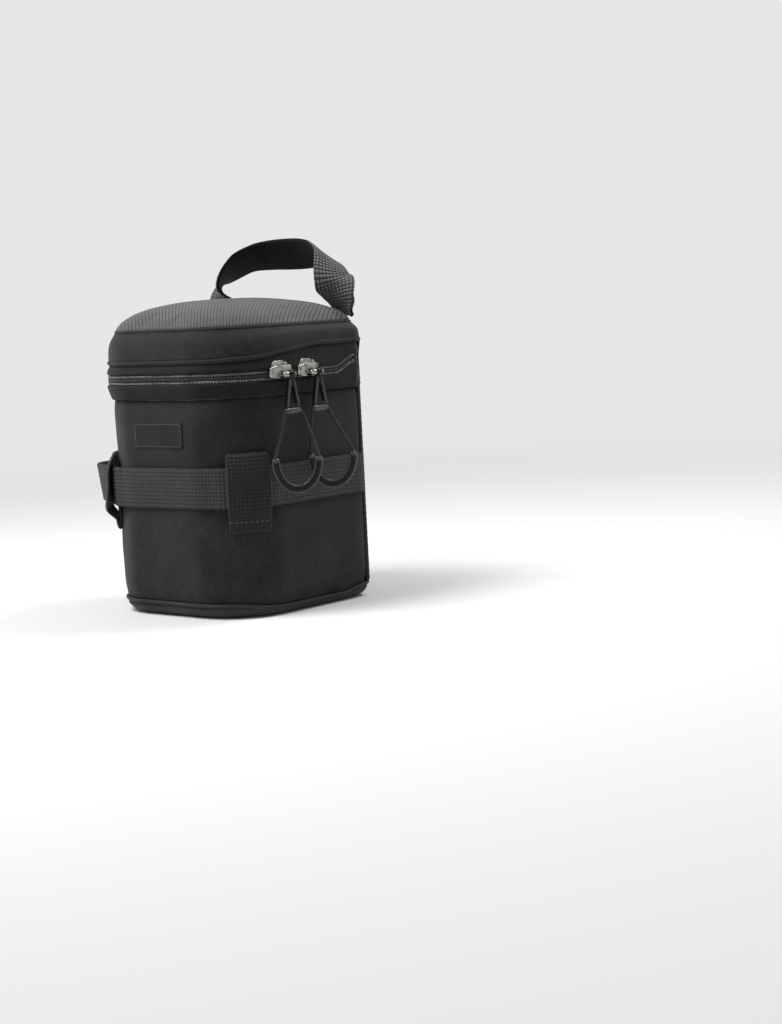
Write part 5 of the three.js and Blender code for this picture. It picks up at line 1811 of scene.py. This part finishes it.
@dataclass
class BackStraps(Part):
    """Two rows of webbing on the back and two straps that press onto studs below them."""

    wall: float = 49 * MM
    thickness: float = 1.2 * MM
    row_width: float = 19.5 * MM
    row_half: float = 36 * MM
    row_gap: float = 0.3 * MM
    strap_width: float = 20 * MM
    strap_at: float = 22 * MM
    strap_high: float = 97.2 * MM
    strap_low: float = 25.1 * MM
    strap_out: float = 2.4 * MM
    tack_half: float = 8.6 * MM
    snap: float = 34 * MM
    snap_sides: int = 40

    def tacks(self, ends: Sequence[tuple[Sequence[float], Sequence[float]]], seed: int
              ) -> list[bpy.types.Object]:
        """Rows of stitches that face the rear, one between each pair of points."""
        return [self.rows.lay("tack", np.linspace(start, end, 60), (0, 1, 0), TACK, seed=seed + k)
                for k, (start, end) in enumerate(ends)]

    def row(self, which: str, height: float) -> None:
        """One row of webbing, tacked at its ends and middle."""
        x = np.linspace(self.row_half, -self.row_half, 160)
        out = self.wall + self.row_gap + self.thickness / 2 \
            + 0.1 * MM * ripple(x, 0, 14 * MM, height / MM)
        line = np.stack([x, out, np.full_like(x, height)], 1)
        band = ribbon("row_band", line, np.tile([0, 0, 1.0], (160, 1)), self.row_width,
                      self.thickness, 40)
        y = self.wall + self.row_gap + self.thickness + 0.1 * MM
        tacks = self.tacks([((at * MM, y, height - self.tack_half),
                             (at * MM, y, height + self.tack_half)) for at in (-34, -1, 1, 34)], 50)
        self.dress(joined(f"back_webbing_{which}_row", [*self.painted("webbing", band), *tacks]),
                   "", "webbing", [f"back_webbing_{which}"])

    def strap(self, side: str, sign: int) -> None:
        """One strap with the press stud's cap at its foot, and the stud behind it."""
        x, body = sign * self.strap_at, f"strap_{side}"
        heights = np.linspace(self.strap_high, self.strap_low, 200)
        step = 0.5 * MM * (1 - smooth(44.25 * MM, 46.25 * MM, heights))
        line = np.stack([np.full(200, x), self.wall + self.strap_out - step, heights], 1)
        band = ribbon("strap_band", line, np.tile([-1.0, 0, 0], (200, 1)),
                      self.strap_width, 1.15 * MM, 40)
        y = self.wall + self.strap_out + 0.7 * MM
        tacks = self.tacks([((x - self.tack_half, y, height), (x + self.tack_half, y, height))
                            for height in (95.5 * MM, 93 * MM)], 60)
        self.dress(joined(f"strap_{side}_band", [*self.painted("webbing", band), *tacks]), "",
                   "webbing", [f"strap_{side}"], body)
        cap = curve_through([(0, 1.35), (2.5, 1.3), (4.6, 1.05), (5.7, 0.55), (6, 0.15),
                             (5.7, 0), (4.5, 0)], 40) * MM
        self.dress(self.turned(f"snap_cap_{side}_dome", cap, x, self.wall + 2.5 * MM),
                   "snap_cap", "snap_cap", [f"snap_cap_{side}"], body)
        stud = np.array([(0, 2.2), (0.8, 2.15), (1.2, 1.8), (1.2, 0.8), (3.6, 0.75), (4.8, 0.6),
                         (5, 0.35), (4.8, 0.1), (4.5, 0.1)]) * MM
        self.dress(self.turned(f"snap_stud_{side}_base", stud, x, self.wall + 0.25 * MM),
                   "bright_metal", "bright_metal", [f"snap_stud_{side}"])

    def turned(self, name: str, profile: np.ndarray, x: float, y: float) -> bpy.types.Object:
        """A round piece turned about Y at the height of the studs, closed behind.

        Args:
            name: Name of the piece.
            profile: Points of its section, as radius and distance outwards.
            x: Where its axis stands.
            y: Where its foot stands.

        Returns:
            The piece.
        """
        turn = np.linspace(0, 2 * math.pi, self.snap_sides, endpoint=False)
        radius, out = profile[1:, 0][:, None], profile[1:, 1][:, None]
        ring = np.stack([x + radius * np.cos(turn), y + out + 0 * turn,
                         self.snap + radius * np.sin(turn)], -1).reshape(-1, 3)
        ends = [(x, y + profile[at, 1], self.snap) for at in (0, -1)]
        faces = ring_faces(len(profile) - 1, self.snap_sides)
        return turned_outwards(mesh_object(name, np.concatenate([ring, ends]), faces))

    def build(self) -> None:
        """Builds the rows, the straps and their press studs."""
        self.row("upper", 86 * MM)
        self.row("lower", 56 * MM)
        for side, sign in SIDES:
            self.strap(side, sign)


@dataclass
class Studio:
    """Camera, lights and the floor."""

    azimuth: float = math.radians(40)
    elevation: float = math.radians(6.18)
    roll: float = math.radians(-2.87)
    distance: float = 0.986
    focal: float = 1980.0
    anchor: tuple[float, float, float] = (0.0, 0.0, 75 * MM)
    anchor_pixel: tuple[float, float] = (233.0, 453.1)
    width: int = 782
    height: int = 1024
    floor: Colour = (0.80, 0.795, 0.785)
    floor_radius: float = 6.0
    floor_sides: int = 96
    aim: float = 80 * MM
    air: Colour = (0.97, 0.98, 1.0)
    air_strength: float = 0.34

    def camera(self) -> None:
        """The camera, fitted to the picture."""
        a, e, r = self.azimuth, self.elevation, self.roll
        right = Vector((math.cos(a), math.sin(a), 0))
        back = Vector((math.sin(a) * math.cos(e), -math.cos(a) * math.cos(e), math.sin(e)))
        up = back.cross(right)
        across = right * math.cos(r) + up * math.sin(r)
        above = up * math.cos(r) - right * math.sin(r)
        dx = (self.anchor_pixel[0] - self.width / 2) / self.focal
        dy = (self.height / 2 - self.anchor_pixel[1]) / self.focal
        where = Vector(self.anchor) - self.distance * (dx * across + dy * above - back)
        data = bpy.data.cameras.new("camera")
        data.sensor_width = 36
        data.lens = self.focal / self.height * 36
        camera = new_object("camera", data)
        camera.matrix_world = Matrix.Translation(where) @ Matrix(
            (across, above, back)).transposed().to_4x4()
        bpy.context.scene.camera = camera

    def light(self, name: str, azimuth: float, elevation: float, reach: float, size: float,
              power: float) -> None:
        """One soft lamp that looks at the pouch.

        Args:
            name: Name of the lamp.
            azimuth: Where it stands, in degrees; 0 is in front.
            elevation: How high it stands, in degrees.
            reach: Distance from the pouch.
            size: Side of the lamp.
            power: Power in watts.
        """
        data = bpy.data.lights.new(name, "AREA")
        data.size, data.energy = size, power
        lamp = new_object(name, data)
        a, e = math.radians(azimuth), math.radians(elevation)
        way = Vector((math.sin(a) * math.cos(e), -math.cos(a) * math.cos(e), math.sin(e)))
        lamp.location = Vector((0, 0, self.aim)) + way * reach
        lamp.rotation_euler = way.to_track_quat("Z", "Y").to_euler()

    def ground(self) -> None:
        """A plain pale floor that fades into the background."""
        w = MaterialWriter("floor")
        where = w.add("ShaderNodeTexCoord")["Object"]
        length = w.add("ShaderNodeVectorMath", {0: where}, operation="LENGTH")["Value"]
        fade = w.product(w.spread(length, 0, 1, 0.15, 1.1), w.seen())
        glow = w.add("ShaderNodeEmission", {"Color": (*self.floor, 1), "Strength": 1.0})
        mixed = w.add("ShaderNodeMixShader", {0: fade, 1: w.shader.outputs[0], 2: glow[0]})
        w.plug(w.tree.nodes["Material Output"].inputs["Surface"], mixed[0])
        w.set(Roughness=0.85)
        turn = np.linspace(0, 2 * math.pi, self.floor_sides, endpoint=False)
        points = self.floor_radius * np.stack([np.cos(turn), np.sin(turn), 0 * turn], 1)
        floor = mesh_object("floor", points, [list(range(self.floor_sides))])
        floor.data.materials.append(w.finish((*self.floor, 1)))

    def sky(self) -> None:
        """An even pale world."""
        world = bpy.data.worlds.new("world")
        bpy.context.scene.world = world
        world.use_nodes = True
        w = TreeWriter(world.node_tree)
        soft = w.tree.nodes["Background"]
        soft.inputs["Color"].default_value = (*self.air, 1)
        soft.inputs["Strength"].default_value = self.air_strength
        bright = w.add("ShaderNodeBackground", {"Color": (*self.floor, 1)})
        mixed = w.add("ShaderNodeMixShader", {0: w.seen(), 1: soft.outputs[0], 2: bright[0]})
        w.plug(w.tree.nodes["World Output"].inputs["Surface"], mixed[0])

    def build(self) -> None:
        """Sets the stage."""
        self.camera()
        self.ground()
        self.sky()
        self.light("key", -24, 60, 0.9, 0.4, 8.0)
        self.light("side", -75, 20, 1.0, 0.5, 1.5)
        self.light("rim", 150, 55, 1.0, 0.4, 5)
        scene = bpy.context.scene
        scene.render.resolution_x, scene.render.resolution_y = self.width, self.height
        scene.view_settings.view_transform = "Standard"


def main() -> None:
    """Builds the pouch and its studio."""
    logging.basicConfig(level=logging.INFO, format="%(message)s")
    finishes, simulation = Finishes(), Simulation()
    rows = UnitRow(finishes)
    parts = [Body(finishes, rows, simulation), Zip(finishes, rows),
             Lid(finishes, rows, simulation), Handle(finishes, rows),
             WaistBand(finishes, rows), *(Pull(finishes, rows, place) for place in Place),
             BackStraps(finishes, rows)]
    for part in parts:
        part.build()
    Studio().build()


if __name__ == "__main__":
    main()
